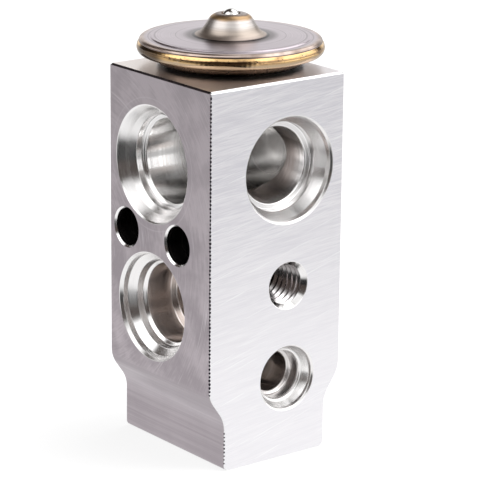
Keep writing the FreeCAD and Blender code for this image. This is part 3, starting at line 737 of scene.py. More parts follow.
@dataclass(frozen=True)
class Rubber(Finish):
    """Matt moulded rubber."""

    metallic: float = 0.0
    roughness: float = 0.6
    bloom_size: float = 0.4
    bloom: Pair = (1.6, 0.01)

    def draw(self, pen: Pen, shader: bpy.types.Node) -> None:
        """Give the rubber a fine bloom.

        Args:
            pen: What draws the nodes.
            shader: The finish's shader.
        """
        bloom = pen.cloud(self.bloom_size)
        pale = tuple(part * self.bloom[0] + self.bloom[1] for part in self.colour)
        pen.paint(shader, pen.mix(bloom, self.colour, pale))


SAWN = SawnFace("sawn_aluminium", (0.92, 0.905, 0.93), 0.36)
DRAWN = DrawnFace("drawn_aluminium", (0.37, 0.33, 0.355), 0.4)
TOP = DrawnTop("drawn_top", (0.97, 0.9, 0.86), 0.32)
# Painted shade: the saw nicks are coloured near black, as shade falls in them.
NICK_SHADE = Finish("shaded_saw_nick", (0.05, 0.04, 0.055), 0.5)
EDGE = Finish("broken_edge", (0.95, 0.95, 0.96), 0.3)
# Painted dark reflection: the top chamfers of the drawn faces are coloured near black.
CORNER = Finish("drawn_corner", (0.12, 0.1, 0.11), 0.3)
THREAD = ThreadTurns("cut_thread", (0.8, 0.77, 0.77), 0.16)
LID = PressedCover("pressed_steel", (0.74, 0.66, 0.71), 0.28)
CUP = StainedCup("tinted_cup", (0.42, 0.34, 0.28), 0.24)
BEAD = WeldTint("gold_bead", (0.92, 0.8, 0.62), 0.16)
PLUG = Finish("ball_steel", (0.66, 0.62, 0.6), 0.22)
SPRING = Finish("spring_steel", (0.5, 0.49, 0.47), 0.3)
ROD = Finish("rod_aluminium", (0.8, 0.8, 0.81), 0.28)
SCREW = Finish("turned_steel", (0.56, 0.55, 0.53), 0.3)
RUBBER = Rubber("seal_rubber", (0.03, 0.05, 0.04))


@dataclass(frozen=True)
class Corner:
    """A corner of an outline, and the radius that rounds it."""

    across: float
    along: float
    rounding: float = 0.0

    def spot(self) -> Vector:
        """Give the sharp corner's place."""
        return Vector((self.across, self.along))


def rounded(corners: Sequence[Corner], steps: int = 6) -> list[Pair]:
    """Replace each rounded corner of a closed outline by points on its arc.

    Args:
        corners: The outline.
        steps: How many pieces an arc has.

    Returns:
        The points of the rounded outline.
    """
    points: list[Pair] = []
    for index, corner in enumerate(corners):
        if not corner.rounding:
            points.append((corner.across, corner.along))
            continue
        here = corner.spot()
        before = (corners[index - 1].spot() - here).normalized()
        after = (corners[(index + 1) % len(corners)].spot() - here).normalized()
        half = before.angle(after) / 2
        middle = here + (before + after).normalized() * (corner.rounding / math.sin(half))
        reach = corner.rounding / math.tan(half)
        first, last = here + before * reach - middle, here + after * reach - middle
        sweep = math.pi - 2 * half
        for step in range(steps + 1):
            share = step / steps
            spoke = (first * math.sin((1 - share) * sweep) + last * math.sin(share * sweep))
            points.append(tuple(middle + spoke / math.sin(sweep)))
    return points


def meshed(name: str, shape: bmesh.types.BMesh) -> bpy.types.Mesh:
    """Keep an edited shape as a mesh, and free it.

    Args:
        name: The mesh's name.
        shape: The edited shape.

    Returns:
        The mesh.
    """
    mesh = bpy.data.meshes.new(name)
    shape.to_mesh(mesh)
    shape.free()
    return mesh


def linked(name: str, data: bpy.types.ID) -> bpy.types.Object:
    """Put a new object with this data into the scene.

    Args:
        name: The object's name.
        data: Its mesh, camera or lamp.

    Returns:
        The object.
    """
    made = bpy.data.objects.new(name, data)
    bpy.context.scene.collection.objects.link(made)
    return made


def smoothed(mesh: bpy.types.Mesh, sharp: float) -> None:
    """Shade a mesh smooth, save the edges that turn by an angle in degrees or more."""
    mesh.shade_smooth()
    mesh.set_sharp_from_angle(angle=math.radians(sharp))


def finished(name: str, mesh: bpy.types.Mesh, sharp: float = 30.0) -> bpy.types.Object:
    """Make a smooth shaded object of a mesh in millimetres.

    Args:
        name: The piece's name.
        mesh: Its mesh, still in millimetres.
        sharp: The angle in degrees from which an edge stays sharp.

    Returns:
        The object, in metres.
    """
    mesh.transform(Matrix.Scale(MM, 4))
    smoothed(mesh, sharp)
    return linked(name, mesh)


def turned(name: str, outline: Sequence[Pair], segments: int = 192, closed: bool = False,
           placing: Matrix | None = None) -> bpy.types.Mesh:
    """Turn an outline of radius and height about the Z axis.

    Args:
        name: The mesh's name.
        outline: Radius and height of each corner; an open outline starts and ends on the axis.
        segments: How many flats go round.
        closed: Whether the outline closes on itself as a ring's does.
        placing: Where the turned shape is put.

    Returns:
        The mesh, in millimetres.
    """
    shape = bmesh.new()
    angles = [2 * math.pi * step / segments for step in range(segments)]
    rings = [[shape.verts.new((radius * math.cos(angle), radius * math.sin(angle), height))
              for angle in (angles if radius > 0 else angles[:1])] for radius, height in outline]
    pairs = list(zip(rings, rings[1:]))
    if closed:
        pairs.append((rings[-1], rings[0]))
    for low, high in pairs:
        for step in range(segments):
            after = (step + 1) % segments
            loop = [low[step % len(low)], low[after % len(low)], high[after % len(high)],
                    high[step % len(high)]]
            corners = list(dict.fromkeys(loop))
            if len(corners) > 2:
                shape.faces.new(corners)
    bmesh.ops.recalc_face_normals(shape, faces=shape.faces)
    mesh = meshed(name, shape)
    if placing is not None:
        mesh.transform(placing)
    return mesh


def baked(piece: bpy.types.Object) -> None:
    """Turn what a piece's modifiers show into its own plain mesh.

    Args:
        piece: The piece.
    """
    shown = bpy.context.evaluated_depsgraph_get()
    mesh = bpy.data.meshes.new_from_object(piece.evaluated_get(shown), depsgraph=shown)
    piece.modifiers.clear()
    piece.data = mesh


def dressed(node: str, finish: Finish) -> bpy.types.Object:
    """Give a carried-over solid its finish.

    Args:
        node: The solid's node.
        finish: Its finish.

    Returns:
        The solid's object.
    """
    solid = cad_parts[node]
    for slot in solid.material_slots:
        slot.material = finish.material()
    return solid


class Input(Enum):
    """What a named input of a Geometry Nodes tree takes."""

    LENGTH = "NodeSocketFloat"
    COUNT = "NodeSocketInt"
    PLACE = "NodeSocketVector"


class Recipe:
    """A Geometry Nodes tree, its named inputs and the values that they take."""

    def __init__(self, name: str) -> None:
        """Start a tree that takes and gives one geometry.

        Args:
            name: The tree's name.
        """
        self.tree = bpy.data.node_groups.new(name, "GeometryNodeTree")
        self.pen = Pen(self.tree)
        self.values: dict[str, object] = {}
        for side in ("INPUT", "OUTPUT"):
            self.tree.interface.new_socket("Geometry", in_out=side,
                                           socket_type="NodeSocketGeometry")
        self.start = self.pen.node("NodeGroupInput")

    def given(self, name: str, value: object, kind: Input = Input.LENGTH) -> Socket:
        """Add a named input and keep its value for the modifier.

        Args:
            name: The input's name.
            value: What it takes.
            kind: What sort of value that is.

        Returns:
            The socket that gives the value inside the tree.
        """
        item = self.tree.interface.new_socket(name, in_out="INPUT", socket_type=kind.value)
        self.values[item.identifier] = value
        return self.start.outputs[name]

    def close(self, geometry: Socket, finish: Finish) -> None:
        """End the tree in real faces that carry the finish.

        Args:
            geometry: The geometry that the tree made.
            finish: The finish of its faces.
        """
        real = self.pen.node("GeometryNodeRealizeInstances", {"Geometry": geometry})
        coated = self.pen.node("GeometryNodeSetMaterial", {
            "Geometry": real.outputs[0], "Material": finish.material()})
        self.pen.node("NodeGroupOutput", {"Geometry": coated.outputs[0]})

    def grow(self, piece: bpy.types.Object) -> bpy.types.Object:
        """Run the tree on a piece and keep the result as its mesh.

        Args:
            piece: The piece.

        Returns:
            The same piece.
        """
        modifier = piece.modifiers.new(self.tree.name, "NODES")
        modifier.node_group = self.tree
        for identifier, value in self.values.items():
            modifier[identifier] = value
        baked(piece)
        return piece

    def grow_new(self, name: str) -> bpy.types.Object:
        """Run the tree on a new empty piece, for a tree that makes all of its geometry."""
        return self.grow(linked(name, bpy.data.meshes.new(name)))


def heading(turn: float, rise: float) -> Vector:
    """Give the way to a place on the sky.

    Args:
        turn: Its angle from -Y, where the front face looks, towards +X, in degrees.
        rise: Its angle above the horizon, in degrees.

    Returns:
        The way, as a unit vector.
    """
    turn, rise = math.radians(turn), math.radians(rise)
    return Vector((math.sin(turn) * math.cos(rise), -math.cos(turn) * math.cos(rise),
                   math.sin(rise)))


@dataclass(frozen=True)
class Softbox:
    """A soft patch of light on the walls of the room, with its angles in degrees."""

    turn: float
    rise: float
    core: float
    rim: float
    level: float

    def glow(self, pen: Pen, way: Socket, azimuth: float) -> Socket:
        """Give the light that comes from a direction.

        Args:
            pen: What draws the nodes.
            way: The direction, as a unit vector.
            azimuth: The camera's azimuth in degrees, from which the patch's turn counts.

        Returns:
            The level of the light.
        """
        middle = tuple(heading(azimuth + self.turn, self.rise))
        facing = pen.vector_math("DOT_PRODUCT", way, middle)
        rim, core = (math.cos(math.radians(angle)) for angle in (self.rim, self.core))
        return pen.span(facing, rim, core, 0.0, self.level)


@dataclass
class Studio:
    """The camera of the product picture, its pale floor and its soft light."""

    azimuth: float = -37.778
    elevation: float = 16.036
    roll: float = 0.526
    distance: float = 449.314
    aim_height: float = 33.0
    aim_right: float = 1.897
    aim_up: float = 1.591
    focal_pixels: float = 2589.043
    frame_pixels: float = 480.0
    sensor_width: float = 36.0
    clip_start: float = 10.0
    gloom: Colour = (0.07, 0.056, 0.05)
    softboxes: tuple[Softbox, ...] = (
        Softbox(74, 42, 20, 34, 2.1), Softbox(-62, 42, 22, 36, 1.8), Softbox(5, 57, 16, 30, 1.0),
        Softbox(82, 12, 40, 58, 1.5), Softbox(130, 50, 20, 34, 1.9), Softbox(180, -4, 27, 40, 0.95),
        Softbox(-100, -12, 22, 34, 0.95))
    lamp_place: Spot = (300.0, -200.0, 700.0)
    lamp_width: float = 500.0
    lamp_watts: float = 11.0
    floor_half: float = 3000.0
    floor_squares: int = 4
    floor_drop: float = 0.05
    floor_colour: Colour = (0.92, 0.92, 0.92)
    floor_white: float = 0.84
    floor_fade: Pair = (60.0, 260.0)
    floor_far_level: float = 0.66
    shade: Softbox = Softbox(-6, 0, 20, 38, 0.97)
    shade_reach: Pair = (42.0, 88.0)

    def build(self) -> None:
        """Set up everything that is not the valve."""
        bpy.context.scene.view_settings.view_transform = "Standard"
        self.place_camera()
        self.light_room()
        self.lay_floor()
        self.hang_lamp()

    def place_camera(self) -> None:
        """Stand the camera where the picture was taken from."""
        turn, tilt = math.radians(self.azimuth), math.radians(self.roll)
        back = heading(self.azimuth, self.elevation)
        level = Vector((math.cos(turn), math.sin(turn), 0))
        upright = back.cross(level)
        right = math.cos(tilt) * level + math.sin(tilt) * upright
        above = math.cos(tilt) * upright - math.sin(tilt) * level
        aim = Vector((0, 0, self.aim_height)) + right * self.aim_right + above * self.aim_up
        data = bpy.data.cameras.new("camera")
        data.sensor_width = self.sensor_width
        data.lens = self.sensor_width * self.focal_pixels / self.frame_pixels
        data.clip_start = self.clip_start * MM
        camera = linked("camera", data)
        axes = Matrix((right, above, back)).transposed().to_4x4()
        camera.matrix_world = Matrix.Translation((aim + back * self.distance) * MM) @ axes
        bpy.context.scene.camera = camera

    def light_room(self) -> None:
        """Make a dim room with soft patches of light, white where the camera sees it."""
        world = bpy.data.worlds.new("room")
        world.use_nodes = True
        bpy.context.scene.world = world
        pen = Pen(world.node_tree)
        way = pen.node("ShaderNodeTexCoord").outputs["Generated"]
        level: object = 0.0
        for patch in self.softboxes:
            level = pen.math("MAXIMUM", level, patch.glow(pen, way, self.azimuth))
        colour = pen.mix(level, self.gloom, WHITE)
        strength = pen.math("MAXIMUM", level, 1.0)
        room = pen.node("ShaderNodeBackground", {"Color": colour, "Strength": strength})
        white = pen.node("ShaderNodeBackground", {"Color": WHITE, "Strength": 1.0})
        seen = pen.node("ShaderNodeLightPath").outputs["Is Camera Ray"]
        shown = pen.node("ShaderNodeMixShader", {0: seen, 1: room.outputs[0], 2: white.outputs[0]})
        pen.node("ShaderNodeOutputWorld", {"Surface": shown.outputs[0]})

    def lay_floor(self) -> None:
        """Lay a pale floor that keeps the valve's soft shadow."""
        shape = bmesh.new()
        bmesh.ops.create_grid(shape, x_segments=self.floor_squares, y_segments=self.floor_squares,
                              size=self.floor_half * MM)
        mesh = meshed("floor", shape)
        mesh.transform(Matrix.Translation((0, 0, -self.floor_drop * MM)))
        mesh.materials.append(self.floor_material())
        floor = linked("floor", mesh)

    def floor_material(self) -> bpy.types.Material:
        """Make a matt white that glows to the camera and, with a darker patch, in mirrors.

        Returns:
            The floor's material.
        """
        made = bpy.data.materials.new("pale_floor")
        made.use_nodes = True
        pen = Pen(made.node_tree)
        matt = pen.node("ShaderNodeBsdfDiffuse", {"Color": self.floor_colour})
        path = pen.node("ShaderNodeLightPath").outputs
        place = pen.place()
        reach = pen.vector_math("LENGTH", place)
        level = pen.over(reach, *self.floor_fade, 1.0, self.floor_far_level, smooth=False)
        way = pen.vector_math("NORMALIZE", place)
        shade = pen.times(self.shade.glow(pen, way, self.azimuth),
                          pen.over(reach, *self.shade_reach))
        dimmed = pen.times(level, pen.rest(shade))
        strength = pen.math("MAXIMUM", path["Is Camera Ray"], dimmed)
        glow = pen.node("ShaderNodeEmission", {"Color": WHITE, "Strength": strength})
        share = pen.math("MAXIMUM", path["Is Glossy Ray"],
                         pen.times(path["Is Camera Ray"], self.floor_white))
        shown = pen.node("ShaderNodeMixShader", {0: share, 1: matt.outputs[0], 2: glow.outputs[0]})
        pen.node("ShaderNodeOutputMaterial", {"Surface": shown.outputs[0]})
        return made

    def hang_lamp(self) -> None:
        """Hang a square soft lamp that looks at the valve and that no metal mirrors."""
        data = bpy.data.lights.new("key_lamp", "AREA")
        data.size = self.lamp_width * MM
        data.energy = self.lamp_watts
        lamp = linked("key_lamp", data)
        lamp.location = Vector(self.lamp_place) * MM
        lamp.visible_glossy = False
        away = lamp.location - Vector((0, 0, self.aim_height * MM))
        lamp.rotation_euler = away.to_track_quat("Z", "Y").to_euler()


@dataclass(frozen=True)
class Port:
    """A stepped tube port: where it opens and its stages from the face inwards."""

    name: str
    way: Way
    mouth: Spot
    stages: tuple[Pair, ...]
    tip: float = 0.0
    soften: float = 0.28
    lip: float = 0.1
    feed: float = 0.16
    colour: Colour = (0.95, 0.94, 0.94)
    # Painted shade: the colour of the port's wall deeper in.
    deep: Colour = (0.88, 0.85, 0.83)
    reach: Pair = (3.0, 9.0)
    roughness: float = 0.23
    grain: float = 0.85

    def cutter(self) -> bpy.types.Mesh:
        """Turn the tool that leaves this port's shape in the block.

        Returns:
            The tool's mesh, in millimetres.
        """
        (radius, face), (last_radius, floor) = self.stages[0], self.stages[-1]
        wide, outside = radius + self.lip, face - OVERSHOOT
        corners = [Corner(0, outside), Corner(wide, outside), Corner(wide, face),
                   Corner(radius, face + self.lip / 2)]
        corners += [Corner(*stage, self.soften) for stage in self.stages[1:-1]]
        corners += [Corner(last_radius, floor), Corner(0, floor + self.tip)]
        return turned(self.name, rounded(corners, steps=5), placing=self.way.placed(self.mouth))

    def finish(self) -> TurnedBore:
        """Give the turned finish of this port."""
        return TurnedBore(f"turned_{self.name}", self.colour, self.roughness, way=self.way,
                          centre=self.mouth, feed=self.feed, grain=self.grain, deep=self.deep,
                          reach=self.reach)


class BlockFinish(IntEnum):
    """The block's own material slots; each port's slot comes after them."""

    SAWN = 0
    DRAWN = 1
    TOP = 2
    NOTCH = 3
    EDGE = 4
    CORNER = 5


@dataclass
class ValveBlock:
    """The drawn and sawn aluminium block with its ports, clamp holes and valve bores."""

    left: float = 16.6
    right: float = 11.4
    front: float = 16.5
    back: float = 12.0
    height: float = 66.0
    foot_inset: float = 3.2
    bend_low: float = 8.95
    bend_high: float = 13.52
    bend_radius: float = 5.0
    foot_corner: float = 1.0
    drawn_chamfer: float = 0.32
    sawn_chamfer: float = 0.35
    edge_break: float = 0.1
    sharp_angle: float = 14.0
    # From these parts of its normal on, a face is flat, a broken edge or a corner at the top.
    square_share: float = 0.99
    broken_share: float = 0.1
    upward_share: float = 0.5
    suction_height: float = 50.6
    liquid_outlet_height: float = 25.6
    liquid_inlet_height: float = 14.0
    fixing_height: float = 30.5
    clamp_offset: float = 7.3
    clamp_height: float = 38.1
    clamp_radius: float = 3.3
    clamp_chamfer: float = 0.3
    nick_pitch: float = 0.66
    nick_size: float = 0.24
    nick_least: Spot = (0.8, 0.8, 0.8)
    nick_most: Spot = (1.3, 1.3, 1.25)
    nick_seed: int = 7
    nick_top_gap: float = 1.0
    foot_nick_scale: float = 0.7
    foot_nick_gaps: Pair = (0.4, 2.2)
    ports: list[Port] = field(init=False)

    def __post_init__(self) -> None:
        """List the ports and bores from the block's own sizes."""
        left, front, suction = -self.left, -self.front, self.suction_height
        # Each port's deep colour is painted shade, darkest in the narrow holes.
        self.ports = [
            Port("suction_inlet", Way.RIGHT, (left, 0, suction), (
                (10.15, 0), (9.95, 0.25), (9.0, 1.75), (8.17, 2.7), (8.17, 4.1), (7.3, 4.1),
                (7.3, 24.6)), deep=(0.96, 0.95, 0.94)),
            Port("liquid_outlet", Way.RIGHT, (left, 0, self.liquid_outlet_height), (
                (9.45, 0), (9.1, 0.55), (9.0, 1.5), (7.75, 2.5), (7.5, 3.7), (6.94, 4.1),
                (6.94, 9.2), (5.5, 9.4), (5.5, 20.6)), tip=3.3, deep=(0.74, 0.68, 0.65),
                reach=(3.6, 6.0)),
            Port("suction_outlet", Way.BACK, (0, front, suction), (
                (9.25, 0), (8.95, 0.35), (8.85, 1.2), (7.72, 3.0), (7.72, 4.3), (6.6, 4.3),
                (6.6, self.front)), deep=(0.62, 0.55, 0.52), reach=(4.1, 8.0)),
            Port("liquid_inlet", Way.BACK, (0, front, self.liquid_inlet_height), (
                (5.75, 0), (5.5, 0.3), (5.45, 0.85), (4.7, 2.0), (4.35, 2.1), (4.2, 2.5),
                (4.2, 4.55), (3.5, 4.55), (3.5, self.front)), deep=(0.6, 0.53, 0.5),
                reach=(3.6, 6.0)),
            Port("fixing_hole", Way.BACK, (0, front, self.fixing_height), (
                (4.12, 0), (3.42, 0.9), (4.0, 1.05), (4.0, 8.9), (3.4, 9.2), (3.4, 9.5)),
                tip=2.04, soften=0.0, deep=(0.3, 0.26, 0.26), reach=(0.95, 1.1), roughness=0.14,
                grain=0.3),
            Port("valve_bores", Way.UP, (0, 0, 0), (
                (6.5, 0), (6.0, 0.5), (6.0, 5.6), (5.4, 5.6), (5.4, 18.0), (1.8, 18.0), (1.8, 25.6),
                (1.25, 25.6), (1.25, 38.0), (2.9, 38.0), (2.9, suction), (5.5, suction),
                (5.5, 59.4), (9.0, 59.4), (9.0, 64.45), (10.55, 66.0), (11.55, 67.0)), soften=0.0),
            self.clamp_hole("clamp_hole_front", -self.clamp_offset),
            self.clamp_hole("clamp_hole_back", self.clamp_offset)]

    def clamp_hole(self, name: str, offset: float) -> Port:
        """Give a chamfered hole right through the block.

        Args:
            name: The hole's name.
            offset: How far its axis is from the valve's, along Y.

        Returns:
            The hole.
        """
        radius, edge, length = self.clamp_radius, self.clamp_chamfer, self.left + self.right
        wide = radius + edge + OVERSHOOT
        # Its deep colour is painted shade inside the hole.
        return Port(name, Way.RIGHT, (-self.left, offset, self.clamp_height), (
            (wide, -OVERSHOOT), (radius, edge), (radius, length - edge),
            (wide, length + OVERSHOOT)), soften=0.0, deep=(0.1, 0.09, 0.09), reach=(0.3, 0.5))

    def profile(self) -> list[Pair]:
        """Give the drawn outline in X and Z.

        Returns:
            The outline, anticlockwise.
        """
        left, right = -self.left, self.right
        foot_left, foot_right = left + self.foot_inset, right - self.foot_inset
        edge = self.drawn_chamfer
        return rounded([
            Corner(foot_left, 0, self.foot_corner), Corner(foot_right, 0, self.foot_corner),
            Corner(foot_right, self.bend_low, self.bend_radius),
            Corner(right, self.bend_high, self.bend_radius), Corner(right, self.height - edge),
            Corner(right - edge, self.height), Corner(left + edge, self.height),
            Corner(left, self.height - edge), Corner(left, self.bend_high, self.bend_radius),
            Corner(foot_left, self.bend_low, self.bend_radius)], steps=12)

    def shrunk(self, outline: Sequence[Pair]) -> list[Pair]:
        """Give the outline at a sawn face, inside its broken edges.

        Args:
            outline: The full outline, anticlockwise.

        Returns:
            The smaller outline with as many points.
        """
        points = []
        for index, spot in enumerate(outline):
            before = Vector(spot) - Vector(outline[index - 1])
            after = Vector(outline[(index + 1) % len(outline)]) - Vector(spot)
            along = (before.normalized() + after.normalized()).normalized()
            across, up = Vector(spot) + Vector((-along.y, along.x)) * self.edge_break
            points.append((across, min(up, self.height - self.sawn_chamfer)))
        return points

    def face_kind(self, normal: Vector) -> BlockFinish:
        """Tell the finish of a face from the parts of its normal.

        Args:
            normal: The normal.

        Returns:
            The finish's slot.
        """
        if abs(normal.y) > self.square_share:
            return BlockFinish.SAWN
        if normal.z > self.square_share:
            return BlockFinish.TOP
        if abs(normal.y) > self.broken_share:
            return BlockFinish.EDGE
        if normal.z > self.upward_share:
            return BlockFinish.CORNER
        return BlockFinish.DRAWN

    def blank(self) -> bpy.types.Object:
        """Make the sawn length of profile before it is drilled.

        Returns:
            The blank, in millimetres.
        """
        outline = self.profile()
        inside = self.shrunk(outline)
        sections = ((inside, -self.front), (outline, self.edge_break - self.front),
                    (outline, self.sawn_chamfer - self.front),
                    (outline, self.back - self.sawn_chamfer),
                    (outline, self.back - self.edge_break), (inside, self.back))
        shape = bmesh.new()
        rings = []
        for points, depth in sections:
            room = min(depth + self.front, self.back - depth)
            limit = self.height - max(0.0, self.sawn_chamfer - room)
            rings.append([shape.verts.new((across, depth, min(up, limit)))
                          for across, up in points])
        for near, far in zip(rings, rings[1:]):
            for index in range(len(outline)):
                after = (index + 1) % len(outline)
                shape.faces.new((near[index], near[after], far[after], far[index]))
        shape.faces.new(rings[0])
        shape.faces.new(rings[-1])
        bmesh.ops.remove_doubles(shape, verts=shape.verts, dist=1e-5)
        bmesh.ops.recalc_face_normals(shape, faces=shape.faces)
        for face in shape.faces:
            face.material_index = self.face_kind(face.normal)
        return linked("valve_body", meshed("valve_body", shape))

    def nicks(self) -> bpy.types.Object:
        """Grow the rows of saw nicks that follow the front edge of the left face and the foot.

        Returns:
            The nicks as one tool, in millimetres.
        """
        recipe = Recipe("saw_nicks")
        pen = recipe.pen
        corner = (-self.left, -self.front)
        start = recipe.given("Start", (*corner, self.bend_high), Input.PLACE)
        end = recipe.given("End", (*corner, self.height - self.nick_top_gap), Input.PLACE)
        inset = recipe.given("Foot Inset", self.foot_inset)
        pitch = recipe.given("Pitch", self.nick_pitch)
        size = recipe.given("Size", self.nick_size)
        seed = recipe.given("Seed", self.nick_seed, Input.COUNT)
        across, deep, _ = pen.parts(start)
        foot = pen.plus(across, inset)
        low_gap, high_gap = self.foot_nick_gaps
        foot_start = pen.joined(foot, deep, self.foot_corner + low_gap)
        foot_end = pen.joined(foot, deep, self.bend_low - high_gap)
        rows = pen.node("GeometryNodeJoinGeometry")
        for first, last, scale in ((start, end, 1.0), (foot_start, foot_end, self.foot_nick_scale)):
            path = pen.node("GeometryNodeCurvePrimitiveLine", {"Start": first, "End": last})
            points = pen.node("GeometryNodeCurveToPoints", {
                "Curve": path.outputs[0], "Length": pitch}, mode="LENGTH")
            nick = pen.node("GeometryNodeMeshIcoSphere", {
                "Radius": pen.times(size, scale), "Subdivisions": 2})
            spread = pen.node("FunctionNodeRandomValue", {
                "Min": self.nick_least, "Max": self.nick_most, "Seed": seed},
                data_type="FLOAT_VECTOR")
            row = pen.node("GeometryNodeInstanceOnPoints", {
                "Points": points.outputs[0], "Instance": nick.outputs[0],
                "Scale": spread.outputs[0]})
            pen.feed(rows.inputs[0], row.outputs[0])
        recipe.close(rows.outputs[0], NICK_SHADE)
        return recipe.grow_new("saw_nicks")

    def drilled(self) -> bpy.types.Mesh:
        """Cut the ports and nicks out of the blank, each with its own finish.

        Returns:
            The block's mesh, in millimetres.
        """
        block = self.blank()
        finishes = [SAWN, DRAWN, TOP, NICK_SHADE, EDGE, CORNER]
        cutters = {self.nicks(): int(BlockFinish.NOTCH)}
        for number, port in enumerate(self.ports, start=len(finishes)):
            cutters[linked(port.name, port.cutter())] = number
        finishes += [port.finish() for port in self.ports]
        for tool in cutters:
            tool.data.materials.clear()
        for piece in (block, *cutters):
            for finish in finishes:
                piece.data.materials.append(finish.material())
        for tool, number in cutters.items():
            faces = tool.data.polygons
            faces.foreach_set("material_index", [number] * len(faces))
            cut = block.modifiers.new(tool.name, "BOOLEAN")
            cut.operation = "DIFFERENCE"
            cut.solver = "EXACT"
            cut.object = tool
        baked(block)
        mesh = block.data
        for piece in (block, *cutters):
            bpy.data.objects.remove(piece)
        return mesh

    def build(self) -> Iterator[bpy.types.Object]:
        """Drill the block and let it stand for its node.

        Returns:
            The pieces, one after the other.
        """
        piece = finished("drilled_block", self.drilled(), self.sharp_angle)
        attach(piece, Body.BLOCK.value)
        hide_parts("valve_block")
        yield piece


@dataclass
class FixingThread:
    """The turns of the M8 thread in the block's front face."""

    face: float = 16.5
    height: float = 30.5
    pitch: float = 1.25
    outer: float = 4.06
    inner: float = 3.4
    start: float = 1.2
    start_turn: float = 180.0
    end: float = 8.6
    crest: float = 0.16
    root: float = 1.1
    segments: int = 72
    sharp_angle: float = 25.0

    def build(self) -> Iterator[bpy.types.Object]:
        """Grow one ridge along a helix in the hole.

        Returns:
            The pieces, one after the other.
        """
        recipe = Recipe("thread_turns")
        pen = recipe.pen
        length = self.end - self.start
        rise = recipe.given("Length", length * MM)
        turns = recipe.given("Turns", length / self.pitch)
        radius = recipe.given("Radius", (self.outer + self.inner) / 2 * MM)
        depth = recipe.given("Depth", (self.outer - self.inner) * MM)
        crest = recipe.given("Crest", self.crest * MM)
        root = recipe.given("Root", self.root * MM)
        helix = pen.node("GeometryNodeCurveSpiral", {
            "Resolution": self.segments, "Rotations": turns, "Start Radius": radius,
            "End Radius": radius, "Height": rise})
        upright = pen.node("GeometryNodeSetCurveNormal", {"Curve": helix.outputs[0]},
                           mode="Z_UP")
        ridge = pen.node("GeometryNodeCurvePrimitiveQuadrilateral", {
            "Height": depth, "Bottom Width": root, "Top Width": crest, "Offset": 0.0},
            mode="TRAPEZOID")
        facing = pen.node("GeometryNodeTransform", {
            "Geometry": ridge.outputs[0], "Rotation": (0.0, 0.0, -math.pi / 2)})
        body = pen.node("GeometryNodeCurveToMesh", {
            "Curve": upright.outputs[0], "Profile Curve": facing.outputs[0], "Fill Caps": True})
        recipe.close(body.outputs[0], THREAD)
        piece = recipe.grow_new("thread_turns")
        place = Way.BACK.placed((0, -self.face + self.start, self.height))
        place @= Matrix.Rotation(math.radians(self.start_turn), 4, "Z")
        place.translation *= MM
        piece.data.transform(place)
        smoothed(piece.data, self.sharp_angle)
        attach(piece, Body.BLOCK.value)
        yield piece


